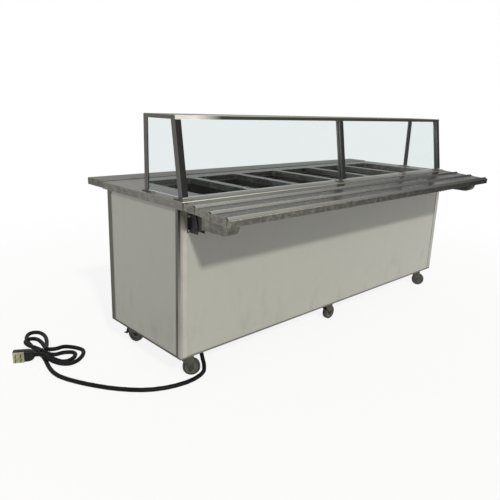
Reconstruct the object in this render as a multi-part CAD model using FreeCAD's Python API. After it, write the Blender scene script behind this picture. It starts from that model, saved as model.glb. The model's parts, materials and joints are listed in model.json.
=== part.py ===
import FreeCAD, Part
import math
import os

# A mobile hot-food serving counter with six wells, a glazed breath guard, a fold-down tray slide
# on the customers' side, a fold-down work shelf on the operator's side and six casters.
# Millimetres. The pieces are drawn with X from the cabinet's left end, Y from its front face
# to the rear and Z from the floor, and are moved to the middle when they are written.

V = FreeCAD.Vector
UP = V(0, 0, 1)
ALONG = V(1, 0, 0)
REARWARD = V(0, 1, 0)

# ---- cabinet ----
LENGTH = 2438.0
DEPTH = 660.0
COUNTER_TOP = 914.0
CABINET_BOTTOM = 133.0
SHEET = 2.0
POST_LEG = 38.0
POST_SHEET = 2.5
FRAME_LEG = 50.0
FRAME_SHEET = 3.0
FRAME_LIP = 8.0
CASTER_PAD = 110.0
PANEL_THICK = 20.0
DECK_TOP = 160.0
SHIELD_TOP = 680.0
SUPPORT_THICK = 18.0
CONTROL_RETURN = 16.0

# ---- countertop and wells ----
OVERHANG_END = 6.0
OVERHANG_FRONT = 24.0
OVERHANG_REAR = 41.0
APRON = 38.0
TOP_EDGE_RADIUS = 4.0
WELLS = 6
WELL_PITCH = 357.0
WELL_ROW_SHIFT = 16.0
OPENING_WIDTH = 305.0
OPENING_FRONT = 88.0
OPENING_REAR_LAND = 64.0
OPENING_RADIUS = 22.0
COLLAR = 30.0
WELL_DEPTH = 170.0
WELL_LEDGE = 6.0
WELL_FLANGE_LAP = 4.0
HEATER_WIDTH = 220.0
HEATER_LENGTH = 420.0
HEATER_THICK = 10.0

# ---- controls ----
KNOB_HEIGHT = 800.0
KNOB_DIAMETER = 44.0
KNOB_DEPTH = 22.0
KNOB_GRIP_WIDTH = 10.0
KNOB_GRIP_DEPTH = 10.0
KNOB_GAP = 0.5
SHAFT_DIAMETER = 8.0
RUNNING_FIT = 0.05
CONTROL_BODY = 40.0
CONTROL_BODY_DEPTH = 34.0
SHAFT_REACH = 18.0
LAMP_OFFSET = 36.0
LAMP_DIAMETER = 14.0
LAMP_DEPTH = 6.0
LAMP_STEM = 10.0
LAMP_STEM_LENGTH = 12.0

# ---- breath guard ----
GUARD_HEIGHT = 370.0
GUARD_SHELF_EDGE = 19.0
GUARD_SHELF_DEPTH = 254.0
GUARD_TUBE = 32.0
GUARD_TUBE_WALL = 2.0
GUARD_END_INSET = 26.0
GUARD_FOOT_WIDTH = 60.0
GUARD_FOOT_DEPTH = 70.0
GUARD_FOOT_THICK = 6.0
GUARD_FOOT_FRONT = 15.0
GUARD_LEAN = 57.0
GUARD_FRONT_AT_COUNTER = 10.0
REAR_BAR_WIDTH = 32.0
REAR_BAR_THICK = 5.0
REAR_FOOT_LENGTH = 80.0
GLASS = 6.0
GLASS_LIFT = 10.0
GLASS_LAP = 22.0
GLASS_TOP_GAP = 3.0

# ---- tray slide and work shelf ----
TRAY_WIDTH = 312.0
TRAY_GAP = 8.0
TRAY_DROP = 3.0
TRAY_DROOP = 4.0
TRAY_EDGE = 32.0
RIDGE_FIRST = 77.0
RIDGE_PITCH = 107.5
RIDGES = 3
RIDGE_HALF = 15.0
RIDGE_HEIGHT = 9.0
RIDGE_SLOT = 3.0
SHELF_WIDTH = 162.0
SHELF_GAP = 3.0
SHELF_RISE = 4.0
PIN_OUT = 46.5
PIN_HEIGHT = 785.0
PIN_DIAMETER = 8.0
PIN_HEAD = 14.0
PIN_HEAD_THICK = 3.0
BRACKET_BOTTOM = 765.0
BRACKET_HEIGHT = 86.0
BRACKET_PLATE = 5.0
BRACKET_REACH = 60.5
BRACKET_CHEEK = 4.0
BRACKET_EAR = 14.0
BRACKET_INSET = 38.0
ROOT_GAP = 1.0
ROOT_CHEEK = 5.0
ROOT_BOSS = 14.0
ROOT_TOP = 848.0
ARM_WIDTH = 60.0
ARM_SHEET = 2.0
ARM_BACK = 100.5
ARM_BOTTOM = 797.0
TRAY_ARM_FRONT = 285.5
TRAY_ARM_NOSE = 45.0
SHELF_ARM_FRONT = 185.0
SHELF_ARM_NOSE = 28.0
SHELF_BRACKET_FROM_KNOB = 49.5
BOLT_DIAMETER = 6.4
BOLT_HEAD_FLATS = 11.0
BOLT_HEAD_THICK = 4.5
BOLT_GRIP = 16.0
BOLT_MARGIN = 7.0
BOLT_ROW_MARGIN = 9.0
SCREW_DIAMETER = 5.0
SCREW_HEAD = 9.0
SCREW_HEAD_THICK = 2.0
SCREW_GRIP = 6.0
SCREW_INSET = 14.0
SCREW_PITCH = 220.0
SCREW_DROP = 17.0

# ---- casters ----
CASTER_END_INSET = 87.0
CASTER_SIDE_INSET = 70.0
WHEEL_RADIUS = 45.0
TYRE_WIDTH = 30.0
TYRE_EDGE = 6.0
HUB_RADIUS = 33.0
TYRE_FIT = 0.1
HUB_WEB = 18.0
HUB_RIM = 4.0
BOSS_RADIUS = 12.0
BOSS_WIDTH = 34.0
AXLE_DIAMETER = 10.0
AXLE_HEAD_FLATS = 16.0
AXLE_HEAD_THICK = 6.0
TRAIL = 25.0
PLATE_LENGTH = 100.0
PLATE_WIDTH = 70.0
PLATE_THICK = 4.0
RACE_RADIUS = 27.0
RACE_HEIGHT = 16.0
SWIVEL_GAP = 0.4
CROWN_THICK = 5.0
CROWN_LEAD = 26.0
CROWN_TAIL = 36.0
LEG_THICK = 4.0
LEG_INNER = 17.5
LEG_END_RADIUS = 14.0
LEG_SHOULDER = 90.0
KINGPIN_DIAMETER = 12.0
KINGPIN_HEAD_RADIUS = 10.0
KINGPIN_HEAD_THICK = 4.0
PLATE_BOLT_X = 40.0
PLATE_BOLT_Y = 25.0
# each caster's place and the way its wheel trails at rest, in degrees from +X
CASTERS = [("front", "left", -35.0), ("front", "middle", 0.0), ("front", "right", -63.0),
           ("rear", "left", -69.0), ("rear", "middle", 20.0), ("rear", "right", -30.0)]
BRAKED = [("rear", "left"), ("rear", "right")]
LEVER_PIVOT_X = -18.0
LEVER_PIVOT_Z = 97.0
LEVER_PIN = 6.0
LEVER_BARREL = 6.0
LEVER_WIDTH = 30.0
LEVER_SHEET = 3.0
LEVER_STRAP_X = -31.0
LEVER_KNEE_Z = 62.0
PEDAL_Z = 38.0
PEDAL_TIP_X = -50.0

# ---- mains lead ----
CORD_DIAMETER = 22.0
GLAND_X = 222.0
GLAND_Y = 128.0
GLAND_MOUTH = 118.0
GLAND_NOSE_RADIUS = 15.0
GLAND_HEX = 38.0
GLAND_HEX_THICK = 12.0
GLAND_BARREL_RADIUS = 12.5
GLAND_NUT_THICK = 8.0
BOX_SIZE = 120.0
BOX_HEIGHT = 80.0
CORD_REST = CORD_DIAMETER / 2
CORD_GAP = 2.8
# the lead's way over the floor, from the gland to the tied loops, chosen by hand
CORD_ROUTE = [(222, 128, 118), (222, 128, 94), (219, 120, 70), (210, 98, 46), (193, 60, 26), (167, 25, 11),
              (136, 6, 11), (99, -6, 11), (61, -12, 11), (6, -11, 11), (-81, 9, 11), (-173, 58, 11),
              (-265, 152, 11), (-338, 259, 11), (-392, 360, 11), (-421, 437, 11), (-427, 505, 11),
              (-418, 572, 11), (-410, 610, 11)]
TIE_X = -382.0
TIE_Y = 706.0
TIE_WALL = 1.4
TIE_WIDTH = 6.0
TIE_CLEARANCE = 0.4
# each loop of the tied lead: the way it points (degrees), its length and its half width
LOOP_FAR = (79.0, 319.0, 47.0)
LOOP_INNER = (-51.0, 168.0, 69.0)
LOOP_SMALL = (94.0, 182.0, 34.0)
LOOP_OUTER = (-46.0, 206.0, 107.0)
LOOP_OPENING = 55.3
STRAND_REACH = 40.0
STRAND_SPREAD = 6.7
TIE_STRAND_GAP = 3.8
# free points between the loops, from the tie: to the right, to the rear and up from the floor or a layer
BEFORE_INNER = (35, -38, 0)
AFTER_INNER = [(2, -70, 9), (0, -33, -5)]
BEFORE_OUTER = (48, -28, 0)
OVER_THE_RUN = [(-7, -129, 13), (-19, -89, 22), (-21, -54, 29)]
# the plug: its pin face's direction, the middle of the end that the lead enters
PLUG_HEADING = -28.8
PLUG_END_X = -437.0
PLUG_END_Y = 699.0
PLUG_HEIGHT = 62.0
PLUG_FACE = 58.0
PLUG_BODY = 40.0
PLUG_NECK = 46.0
PLUG_NECK_END = 30.0
PLUG_EDGE_RADIUS = 5.0
PLUG_FACE_THICK = 3.0
BLADE_LENGTH = 22.0
BLADE_WIDTH = 12.0
BLADE_THICK = 2.5
BLADE_OFFSET = 13.0

# ---- worked out ----
MIDDLE = LENGTH / 2
COUNTER_UNDER = COUNTER_TOP - SHEET
FRONT_FACE = POST_SHEET
REAR_FACE = DEPTH - POST_SHEET
FRAME_TOP = CABINET_BOTTOM + FRAME_SHEET
LIP_TOP = CABINET_BOTTOM + FRAME_LIP
INNER_LEFT = POST_SHEET + PANEL_THICK
INNER_RIGHT = LENGTH - INNER_LEFT
INNER_FRONT = POST_SHEET + PANEL_THICK
CONTROL_BACK = REAR_FACE - SHEET
TOP_LEFT = -OVERHANG_END
TOP_RIGHT = LENGTH + OVERHANG_END
TOP_FRONT = -OVERHANG_FRONT
TOP_REAR = DEPTH + OVERHANG_REAR
FIRST_OPENING = MIDDLE + WELL_ROW_SHIFT - ((WELLS - 1) * WELL_PITCH + OPENING_WIDTH) / 2
OPENING_REAR = DEPTH - OPENING_REAR_LAND
OPENING_DEPTH = OPENING_REAR - OPENING_FRONT
SHELF_BRACKET_INSET = FIRST_OPENING + OPENING_WIDTH / 2 + SHELF_BRACKET_FROM_KNOB
COLLAR_BOTTOM = COUNTER_TOP - COLLAR
WELL_FLOOR = COLLAR_BOTTOM - WELL_DEPTH
TRAY_INNER = OVERHANG_FRONT + TRAY_GAP + FRONT_FACE
TRAY_TOP = COUNTER_TOP - TRAY_DROP
SHELF_INNER = OVERHANG_REAR + SHELF_GAP + POST_SHEET
SHELF_TOP = COUNTER_TOP + SHELF_RISE
GUARD_TOP = COUNTER_TOP + GUARD_HEIGHT
GUARD_UNDER = GUARD_TOP - GUARD_SHELF_EDGE
GUARD_LEFT = TOP_LEFT + GUARD_END_INSET
GUARD_RIGHT = LENGTH - GUARD_LEFT
RACE_BOTTOM = CABINET_BOTTOM - PLATE_THICK - RACE_HEIGHT
CROWN_TOP = RACE_BOTTOM - SWIVEL_GAP
CROWN_BOTTOM = CROWN_TOP - CROWN_THICK
TRAY_OUTER_Y = FRONT_FACE - TRAY_INNER - TRAY_WIDTH * math.cos(math.radians(TRAY_DROOP))
SHELF_OUTER_Y = REAR_FACE + SHELF_INNER + SHELF_WIDTH
TO_MIDDLE = V(-MIDDLE, -(TRAY_OUTER_Y + SHELF_OUTER_Y) / 2, 0)

os.makedirs("parts", exist_ok=True)


def write(name, solids):
    """Moves a sub-part's solids to the model's middle and writes them."""
    moved = [solid.translated(TO_MIDDLE) for solid in solids]
    shape = moved[0] if len(moved) == 1 else Part.makeCompound(moved)
    shape.exportStep("parts/" + name + ".step")


def block(x0, x1, y0, y1, z0, z1):
    return Part.makeBox(x1 - x0, y1 - y0, z1 - z0, V(x0, y0, z0))


def rod(radius, start, end):
    return Part.makeCylinder(radius, (end - start).Length, start, end - start)


def joined(solids):
    return solids[0].multiFuse(solids[1:]).removeSplitter()


def mirrored(solid):
    """The same piece at the cabinet's other end."""
    return solid.mirror(V(MIDDLE, 0, 0), ALONG)


def both_ends(solid):
    return [solid, mirrored(solid)]


def rounded_block(x0, x1, y0, y1, z0, z1, radius):
    """A block whose upright edges are rounded."""
    solid = block(x0, x1, y0, y1, z0, z1)
    upright = [edge for edge in solid.Edges if abs(edge.tangentAt(edge.FirstParameter).z) > 0.5]
    return solid.makeFillet(radius, upright)


def hexagon(flats, start, end):
    """A six-sided head from start to end."""
    axis = end - start
    side = axis.cross(UP) if axis.cross(UP).Length > 1e-6 else ALONG
    side = V(side).normalize() * (flats / math.sqrt(3))
    turn = FreeCAD.Rotation(axis, 60)
    corners = [V(side)]
    for _ in range(6):
        corners.append(turn.multVec(corners[-1]))
    outline = Part.makePolygon([start + corner for corner in corners])
    return Part.Face(outline).extrude(axis)


def sheet_outline(steps, place):
    """A face from (a, b) corners; a step of four values is an arc: its middle, then its end."""
    edges = []
    here = place(*steps[0])
    for step in steps[1:] + steps[:1]:
        end = place(*step[-2:])
        if len(step) == 4:
            edges.append(Part.Arc(here, place(*step[:2]), end).toShape())
        elif (end - here).Length > 1e-6:
            edges.append(Part.LineSegment(here, end).toShape())
        here = end
    return Part.Face(Part.Wire(edges))


# ---- cabinet ----

def base_frame():
    sheet = block(0, LENGTH, 0, DEPTH, CABINET_BOTTOM, FRAME_TOP)
    gap = block(FRAME_LEG, LENGTH - FRAME_LEG, FRAME_LEG, DEPTH - FRAME_LEG, CABINET_BOTTOM, FRAME_TOP)
    lip = block(0, LENGTH, 0, DEPTH, CABINET_BOTTOM, LIP_TOP)
    inside_lip = block(POST_SHEET, LENGTH - POST_SHEET, POST_SHEET, DEPTH - POST_SHEET, CABINET_BOTTOM, LIP_TOP)
    pieces = [sheet.cut(gap), lip.cut(inside_lip)]
    pieces.append(block(MIDDLE - FRAME_LEG / 2, MIDDLE + FRAME_LEG / 2, 0, DEPTH, CABINET_BOTTOM, FRAME_TOP))
    for row, column, _ in CASTERS:
        x, y = caster_place(row, column)
        front = 0 if row == "front" else DEPTH - CASTER_PAD
        pieces.append(block(x - CASTER_PAD / 2, x + CASTER_PAD / 2, front, front + CASTER_PAD,
                            CABINET_BOTTOM, FRAME_TOP))
    write("base_frame", [joined(pieces)])


def corner_posts():
    outer = block(0, POST_LEG, 0, POST_LEG, LIP_TOP, COUNTER_UNDER)
    inner = block(POST_SHEET, POST_LEG, POST_SHEET, POST_LEG, LIP_TOP, COUNTER_UNDER)
    front = outer.cut(inner)
    rear = front.mirror(V(0, DEPTH / 2, 0), REARWARD)
    write("corner_posts", both_ends(front) + both_ends(rear))


def panels():
    front = block(POST_SHEET, LENGTH - POST_SHEET, FRONT_FACE, INNER_FRONT, FRAME_TOP, COUNTER_UNDER)
    for x in bracket_bolt_columns(BRACKET_INSET):
        for z in bracket_bolt_rows():
            front = front.cut(rod(BOLT_DIAMETER / 2, V(x, 0, z), V(x, INNER_FRONT, z)))
    write("front_panel", [front])
    end = block(POST_SHEET, INNER_LEFT, INNER_FRONT, REAR_FACE, FRAME_TOP, COUNTER_UNDER)
    write("left_end_panel", [end])
    write("right_end_panel", [mirrored(end)])


def deck():
    outer = block(INNER_LEFT, INNER_RIGHT, INNER_FRONT, REAR_FACE, FRAME_TOP, DECK_TOP)
    inner = block(INNER_LEFT + SHEET, INNER_RIGHT - SHEET, INNER_FRONT + SHEET, REAR_FACE - SHEET,
                  FRAME_TOP, DECK_TOP - SHEET)
    bore = rod(GLAND_BARREL_RADIUS, V(GLAND_X, GLAND_Y, FRAME_TOP), V(GLAND_X, GLAND_Y, DECK_TOP))
    write("deck", [outer.cut(inner).cut(bore)])


def mid_support():
    write("mid_support", [block(MIDDLE - SUPPORT_THICK / 2, MIDDLE + SUPPORT_THICK / 2, INNER_FRONT, CONTROL_BACK,
                                DECK_TOP, SHIELD_TOP - SHEET)])


def heat_shield():
    write("heat_shield", [block(INNER_LEFT, INNER_RIGHT, INNER_FRONT, REAR_FACE, SHIELD_TOP - SHEET, SHIELD_TOP)])


# ---- countertop and wells ----

def opening_left(index):
    return FIRST_OPENING + index * WELL_PITCH


def countertop():
    body = block(TOP_LEFT, TOP_RIGHT, TOP_FRONT, TOP_REAR, COUNTER_TOP - APRON, COUNTER_TOP)
    rim = [edge for edge in body.Edges if edge.CenterOfMass.z > COUNTER_TOP - SHEET]
    body = body.makeFillet(TOP_EDGE_RADIUS, rim)
    hollow = block(TOP_LEFT + SHEET, TOP_RIGHT - SHEET, TOP_FRONT + SHEET, TOP_REAR - SHEET,
                   COUNTER_TOP - APRON, COUNTER_UNDER)
    top = body.cut(hollow)
    collars = []
    cuts = []
    for index in range(WELLS):
        left = opening_left(index)
        right = left + OPENING_WIDTH
        collars.append(rounded_block(left - SHEET, right + SHEET, OPENING_FRONT - SHEET, OPENING_REAR + SHEET,
                                     COLLAR_BOTTOM, COUNTER_UNDER, OPENING_RADIUS + SHEET))
        cuts.append(rounded_block(left, right, OPENING_FRONT, OPENING_REAR, COLLAR_BOTTOM, COUNTER_TOP,
                                  OPENING_RADIUS))
    top = top.multiFuse(collars)
    for place in apron_screw_places():
        reach = ALONG * SHEET
        cuts += both_ends(rod(SCREW_DIAMETER / 2, place, place + reach))
    for cut in cuts:
        top = top.cut(cut)
    write("countertop", [top.removeSplitter()])


def wells():
    for index in range(WELLS):
        left = opening_left(index)
        right = left + OPENING_WIDTH
        flange = rounded_block(left - WELL_FLANGE_LAP, right + WELL_FLANGE_LAP, OPENING_FRONT - WELL_FLANGE_LAP,
                               OPENING_REAR + WELL_FLANGE_LAP, COLLAR_BOTTOM - SHEET, COLLAR_BOTTOM,
                               OPENING_RADIUS + WELL_FLANGE_LAP)
        outer = WELL_LEDGE - SHEET
        pan = rounded_block(left + outer, right - outer, OPENING_FRONT + outer, OPENING_REAR - outer,
                            WELL_FLOOR, COLLAR_BOTTOM, OPENING_RADIUS)
        inside = rounded_block(left + WELL_LEDGE, right - WELL_LEDGE, OPENING_FRONT + WELL_LEDGE,
                               OPENING_REAR - WELL_LEDGE, WELL_FLOOR + SHEET, COLLAR_BOTTOM,
                               OPENING_RADIUS - SHEET)
        write("well_%d" % (index + 1), [joined([flange, pan]).cut(inside)])


def heating_elements():
    middle_y = OPENING_FRONT + OPENING_DEPTH / 2
    plates = []
    for index in range(WELLS):
        x = opening_left(index) + OPENING_WIDTH / 2
        plates.append(block(x - HEATER_WIDTH / 2, x + HEATER_WIDTH / 2, middle_y - HEATER_LENGTH / 2,
                            middle_y + HEATER_LENGTH / 2, WELL_FLOOR - HEATER_THICK, WELL_FLOOR))
    write("heating_elements", plates)


# ---- controls on the operator's side ----

def knob_x(index):
    return opening_left(index) + OPENING_WIDTH / 2


def control_panel():
    sheet = block(INNER_LEFT, INNER_RIGHT, CONTROL_BACK, REAR_FACE, SHIELD_TOP, COUNTER_UNDER)
    fold = block(INNER_LEFT, INNER_RIGHT, CONTROL_BACK - CONTROL_RETURN, CONTROL_BACK,
                 COUNTER_UNDER - SHEET, COUNTER_UNDER)
    panel = joined([sheet, fold])
    for index in range(WELLS):
        x = knob_x(index)
        panel = panel.cut(rod(SHAFT_DIAMETER / 2 + RUNNING_FIT, V(x, CONTROL_BACK, KNOB_HEIGHT),
                              V(x, REAR_FACE, KNOB_HEIGHT)))
        lamp = x + LAMP_OFFSET
        panel = panel.cut(rod(LAMP_STEM / 2, V(lamp, CONTROL_BACK, KNOB_HEIGHT), V(lamp, REAR_FACE, KNOB_HEIGHT)))
    for x in bracket_bolt_columns(SHELF_BRACKET_INSET):
        for z in bracket_bolt_rows():
            panel = panel.cut(rod(BOLT_DIAMETER / 2, V(x, CONTROL_BACK, z), V(x, REAR_FACE, z)))
    write("control_panel", [panel])


def heat_controls():
    bodies = []
    half = CONTROL_BODY / 2
    for index in range(WELLS):
        x = knob_x(index)
        body = block(x - half, x + half, CONTROL_BACK - CONTROL_BODY_DEPTH, CONTROL_BACK,
                     KNOB_HEIGHT - half, KNOB_HEIGHT + half)
        socket = rod(SHAFT_DIAMETER / 2 + RUNNING_FIT, V(x, CONTROL_BACK - SHAFT_REACH - 2 * KNOB_GAP, KNOB_HEIGHT),
                     V(x, CONTROL_BACK, KNOB_HEIGHT))
        bodies.append(body.cut(socket))
    write("heat_controls", bodies)


def knobs():
    for index in range(WELLS):
        x = knob_x(index)
        back = REAR_FACE + KNOB_GAP
        face = back + KNOB_DEPTH - KNOB_GRIP_DEPTH
        skirt = Part.makeCone(KNOB_DIAMETER / 2, KNOB_DIAMETER / 2 - SHEET, face - back,
                              V(x, back, KNOB_HEIGHT), REARWARD)
        grip = block(x - KNOB_GRIP_WIDTH / 2, x + KNOB_GRIP_WIDTH / 2, face, face + KNOB_GRIP_DEPTH,
                     KNOB_HEIGHT - KNOB_DIAMETER / 2 + SHEET, KNOB_HEIGHT + KNOB_DIAMETER / 2 - SHEET)
        shaft = rod(SHAFT_DIAMETER / 2, V(x, CONTROL_BACK - SHAFT_REACH, KNOB_HEIGHT), V(x, face, KNOB_HEIGHT))
        rounded_grip = grip.common(rod(KNOB_DIAMETER / 2 - SHEET, V(x, face, KNOB_HEIGHT),
                                       V(x, face + KNOB_GRIP_DEPTH, KNOB_HEIGHT)))
        write("knob_%d" % (index + 1), [joined([skirt, rounded_grip, shaft])])


def pilot_lights():
    lamps = []
    for index in range(WELLS):
        x = knob_x(index) + LAMP_OFFSET
        stem = rod(LAMP_STEM / 2, V(x, REAR_FACE - LAMP_STEM_LENGTH, KNOB_HEIGHT), V(x, REAR_FACE, KNOB_HEIGHT))
        lens = Part.makeCone(LAMP_DIAMETER / 2, LAMP_STEM / 2, LAMP_DEPTH, V(x, REAR_FACE, KNOB_HEIGHT), REARWARD)
        lamps.append(joined([stem, lens]))
    write("pilot_lights", lamps)


# ---- breath guard ----

def guard_front(height):
    """The front face of the leaning posts at a height."""
    return GUARD_FRONT_AT_COUNTER + GUARD_LEAN * (height - COUNTER_TOP) / (GUARD_UNDER - COUNTER_TOP)


def guard_post_lefts():
    return [GUARD_LEFT, MIDDLE - GUARD_TUBE / 2, GUARD_RIGHT - GUARD_TUBE]


def leaning_bar(x0, x1, inset, thick, bottom, top):
    """A bar along the posts' lean, its front inset from the posts' front face."""
    y = guard_front(bottom) + inset
    section = Part.makePolygon([V(x0, y, bottom), V(x1, y, bottom), V(x1, y + thick, bottom),
                                V(x0, y + thick, bottom), V(x0, y, bottom)])
    return Part.Face(section).extrude(V(0, guard_front(top) - guard_front(bottom), top - bottom))


def guard_front_posts():
    posts = []
    foot_top = COUNTER_TOP + GUARD_FOOT_THICK
    wall = GUARD_TUBE_WALL
    for left in guard_post_lefts():
        tube = leaning_bar(left, left + GUARD_TUBE, 0, GUARD_TUBE, foot_top, GUARD_UNDER)
        bore = leaning_bar(left + wall, left + GUARD_TUBE - wall, wall, GUARD_TUBE - 2 * wall, foot_top,
                           GUARD_UNDER)
        middle = left + GUARD_TUBE / 2
        front = TOP_FRONT + GUARD_FOOT_FRONT
        foot = block(middle - GUARD_FOOT_WIDTH / 2, middle + GUARD_FOOT_WIDTH / 2, front,
                     front + GUARD_FOOT_DEPTH, COUNTER_TOP, foot_top)
        posts.append(joined([tube.cut(bore), foot]))
    write("guard_front_posts", posts)


def guard_rear_posts():
    rear = guard_front(GUARD_UNDER) + GUARD_SHELF_DEPTH
    bar = block(GUARD_LEFT, GUARD_LEFT + REAR_BAR_THICK, rear - REAR_BAR_WIDTH, rear,
                COUNTER_TOP, GUARD_UNDER)
    middle = rear - REAR_BAR_WIDTH / 2
    foot = block(GUARD_LEFT, GUARD_LEFT + REAR_BAR_WIDTH, middle - REAR_FOOT_LENGTH / 2,
                 middle + REAR_FOOT_LENGTH / 2, COUNTER_TOP, COUNTER_TOP + REAR_BAR_THICK)
    write("guard_rear_posts", both_ends(joined([bar, foot])))


def guard_shelf():
    front = guard_front(GUARD_UNDER)
    rear = front + GUARD_SHELF_DEPTH
    outer = block(GUARD_LEFT, GUARD_RIGHT, front, rear, GUARD_UNDER, GUARD_TOP)
    corners = [edge for edge in outer.Edges if edge.CenterOfMass.z > GUARD_TOP - SHEET]
    outer = outer.makeFillet(SHEET, corners)
    inner = block(GUARD_LEFT + SHEET, GUARD_RIGHT - SHEET, front + SHEET, rear - SHEET,
                  GUARD_UNDER, GUARD_TOP - SHEET)
    pieces = [outer.cut(inner)]
    for left in guard_post_lefts():
        for rib in (left, left + GUARD_TUBE - SHEET):
            pieces.append(block(rib, rib + SHEET, front + SHEET, rear - SHEET, GUARD_UNDER, GUARD_TOP - SHEET))
    write("guard_shelf", [joined(pieces)])


def guard_glass():
    bottom = COUNTER_TOP + GLASS_LIFT
    top = GUARD_UNDER - GLASS_TOP_GAP
    inset = (GUARD_TUBE - GLASS) / 2
    lefts = guard_post_lefts()
    for name, post in (("front_glass_left", 0), ("front_glass_right", 1)):
        write(name, [leaning_bar(lefts[post] + GUARD_TUBE, lefts[post + 1], inset, GLASS, bottom, top)])
    rear = guard_front(GUARD_UNDER) + GUARD_SHELF_DEPTH - REAR_BAR_WIDTH + GLASS_LAP
    x = GUARD_LEFT + REAR_BAR_THICK
    steps = [(guard_front(bottom) + GUARD_TUBE, bottom), (guard_front(top) + GUARD_TUBE, top),
             (rear, top), (rear, bottom)]
    pane = sheet_outline(steps, lambda y, z: V(x, y, z)).extrude(V(GLASS, 0, 0))
    write("end_glass", both_ends(pane))


# ---- folding tray slide and work shelf ----
# Their profiles are drawn by the distance out from the cabinet's face (u) and the height (z).

def outward(side, x=0.0):
    if side == "front":
        return lambda u, z: V(x, FRONT_FACE - u, z)
    return lambda u, z: V(x, REAR_FACE + u, z)


def prism(side, steps, x0, x1):
    return sheet_outline(steps, outward(side, x0)).extrude(V(x1 - x0, 0, 0))


def tray_point(s, t):
    """A point s out along the drooping tray and t above its top, as (u, z)."""
    angle = math.radians(TRAY_DROOP)
    return (TRAY_INNER + s * math.cos(angle) + t * math.sin(angle),
            TRAY_TOP - s * math.sin(angle) + t * math.cos(angle))


def tray_underside(u):
    """The height of the tray's underside at a distance out."""
    angle = math.radians(TRAY_DROOP)
    return TRAY_TOP - SHEET / math.cos(angle) - (u - TRAY_INNER) * math.tan(angle)


def ridge_places():
    return [RIDGE_FIRST + index * RIDGE_PITCH for index in range(RIDGES)]


def tray_slide():
    upper = [(0, 0)]
    for middle in ridge_places():
        upper += [(middle - RIDGE_HALF, 0), (middle, RIDGE_HEIGHT), (middle + RIDGE_HALF, 0)]
    upper.append((TRAY_WIDTH, 0))
    outline = upper + [(TRAY_WIDTH, -TRAY_EDGE), (TRAY_WIDTH - SHEET, -TRAY_EDGE)]
    outline += [(TRAY_WIDTH - SHEET, -SHEET)]
    outline += [(s, t - SHEET) for s, t in reversed(upper[1:-1])]
    outline += [(SHEET, -SHEET), (SHEET, -TRAY_EDGE), (0, -TRAY_EDGE)]
    sheet = prism("front", [tray_point(s, t) for s, t in outline], TOP_LEFT, TOP_RIGHT)
    corners = [(0, -SHEET), (TRAY_WIDTH, -SHEET), (TRAY_WIDTH, -TRAY_EDGE), (0, -TRAY_EDGE)]
    flange = prism("front", [tray_point(s, t) for s, t in corners], TOP_LEFT, TOP_LEFT + SHEET)
    for middle in ridge_places():
        half = RIDGE_SLOT / 2
        cut = [(middle - half, RIDGE_HEIGHT), (middle + half, RIDGE_HEIGHT),
               (middle + half, -TRAY_EDGE + SHEET), (middle - half, -TRAY_EDGE + SHEET)]
        flange = flange.cut(prism("front", [tray_point(s, t) for s, t in cut], TOP_LEFT, TOP_LEFT + SHEET))
    write("tray_slide", [joined([sheet] + both_ends(flange))])


def work_shelf():
    outer = SHELF_INNER + SHELF_WIDTH
    front = REAR_FACE + SHELF_INNER
    body = block(TOP_LEFT, TOP_RIGHT, front, REAR_FACE + outer, SHELF_TOP - APRON, SHELF_TOP)
    rim = [edge for edge in body.Edges if edge.CenterOfMass.z > SHELF_TOP - SHEET]
    body = body.makeFillet(TOP_EDGE_RADIUS, rim)
    hollow = block(TOP_LEFT + SHEET, TOP_RIGHT - SHEET, front + SHEET, REAR_FACE + outer - SHEET,
                   SHELF_TOP - APRON, SHELF_TOP - SHEET)
    write("work_shelf", [body.cut(hollow)])


def arm(side, left, front, nose, back_top, front_top):
    """A sheet channel under the tray or shelf, open on top, its lower front corner rounded."""
    def channel(inset):
        back = ARM_BACK + inset
        out = front - inset
        low = ARM_BOTTOM + inset
        radius = nose - inset
        bend = radius * (1 - math.cos(math.radians(45)))
        top = (back, back_top), (back, low), (out - radius, low)
        return list(top) + [(out - bend, low + bend, out, low + radius), (out, front_top)]
    solid = prism(side, channel(0), left, left + ARM_WIDTH)
    return solid.cut(prism(side, channel(ARM_SHEET), left + ARM_SHEET, left + ARM_WIDTH - ARM_SHEET))


def arm_left(bracket_inset):
    """An arm's near side: arm and bracket share their middle."""
    return bracket_inset + bracket_width() / 2 - ARM_WIDTH / 2


def bracket_width():
    return ARM_WIDTH - 2 * ROOT_CHEEK - 2 * BRACKET_CHEEK + 2 * BRACKET_EAR + 2 * ROOT_GAP


def arms():
    tray_arm = arm("front", arm_left(BRACKET_INSET), TRAY_ARM_FRONT, TRAY_ARM_NOSE,
                   tray_underside(ARM_BACK), tray_underside(TRAY_ARM_FRONT))
    write("tray_arms", both_ends(tray_arm))
    under = SHELF_TOP - SHEET
    shelf_arm = arm("rear", arm_left(SHELF_BRACKET_INSET), SHELF_ARM_FRONT, SHELF_ARM_NOSE, under, under)
    shelf_root = root("rear", SHELF_BRACKET_INSET)
    write("shelf_arms", both_ends(shelf_arm) + both_ends(shelf_root))
    write("tray_arm_roots", both_ends(root("front", BRACKET_INSET)))


def cheek_span(bracket_inset):
    """The inner faces of a bracket's two cheeks."""
    left = bracket_inset + BRACKET_EAR + BRACKET_CHEEK
    return left, bracket_inset + bracket_width() - BRACKET_EAR - BRACKET_CHEEK


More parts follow.
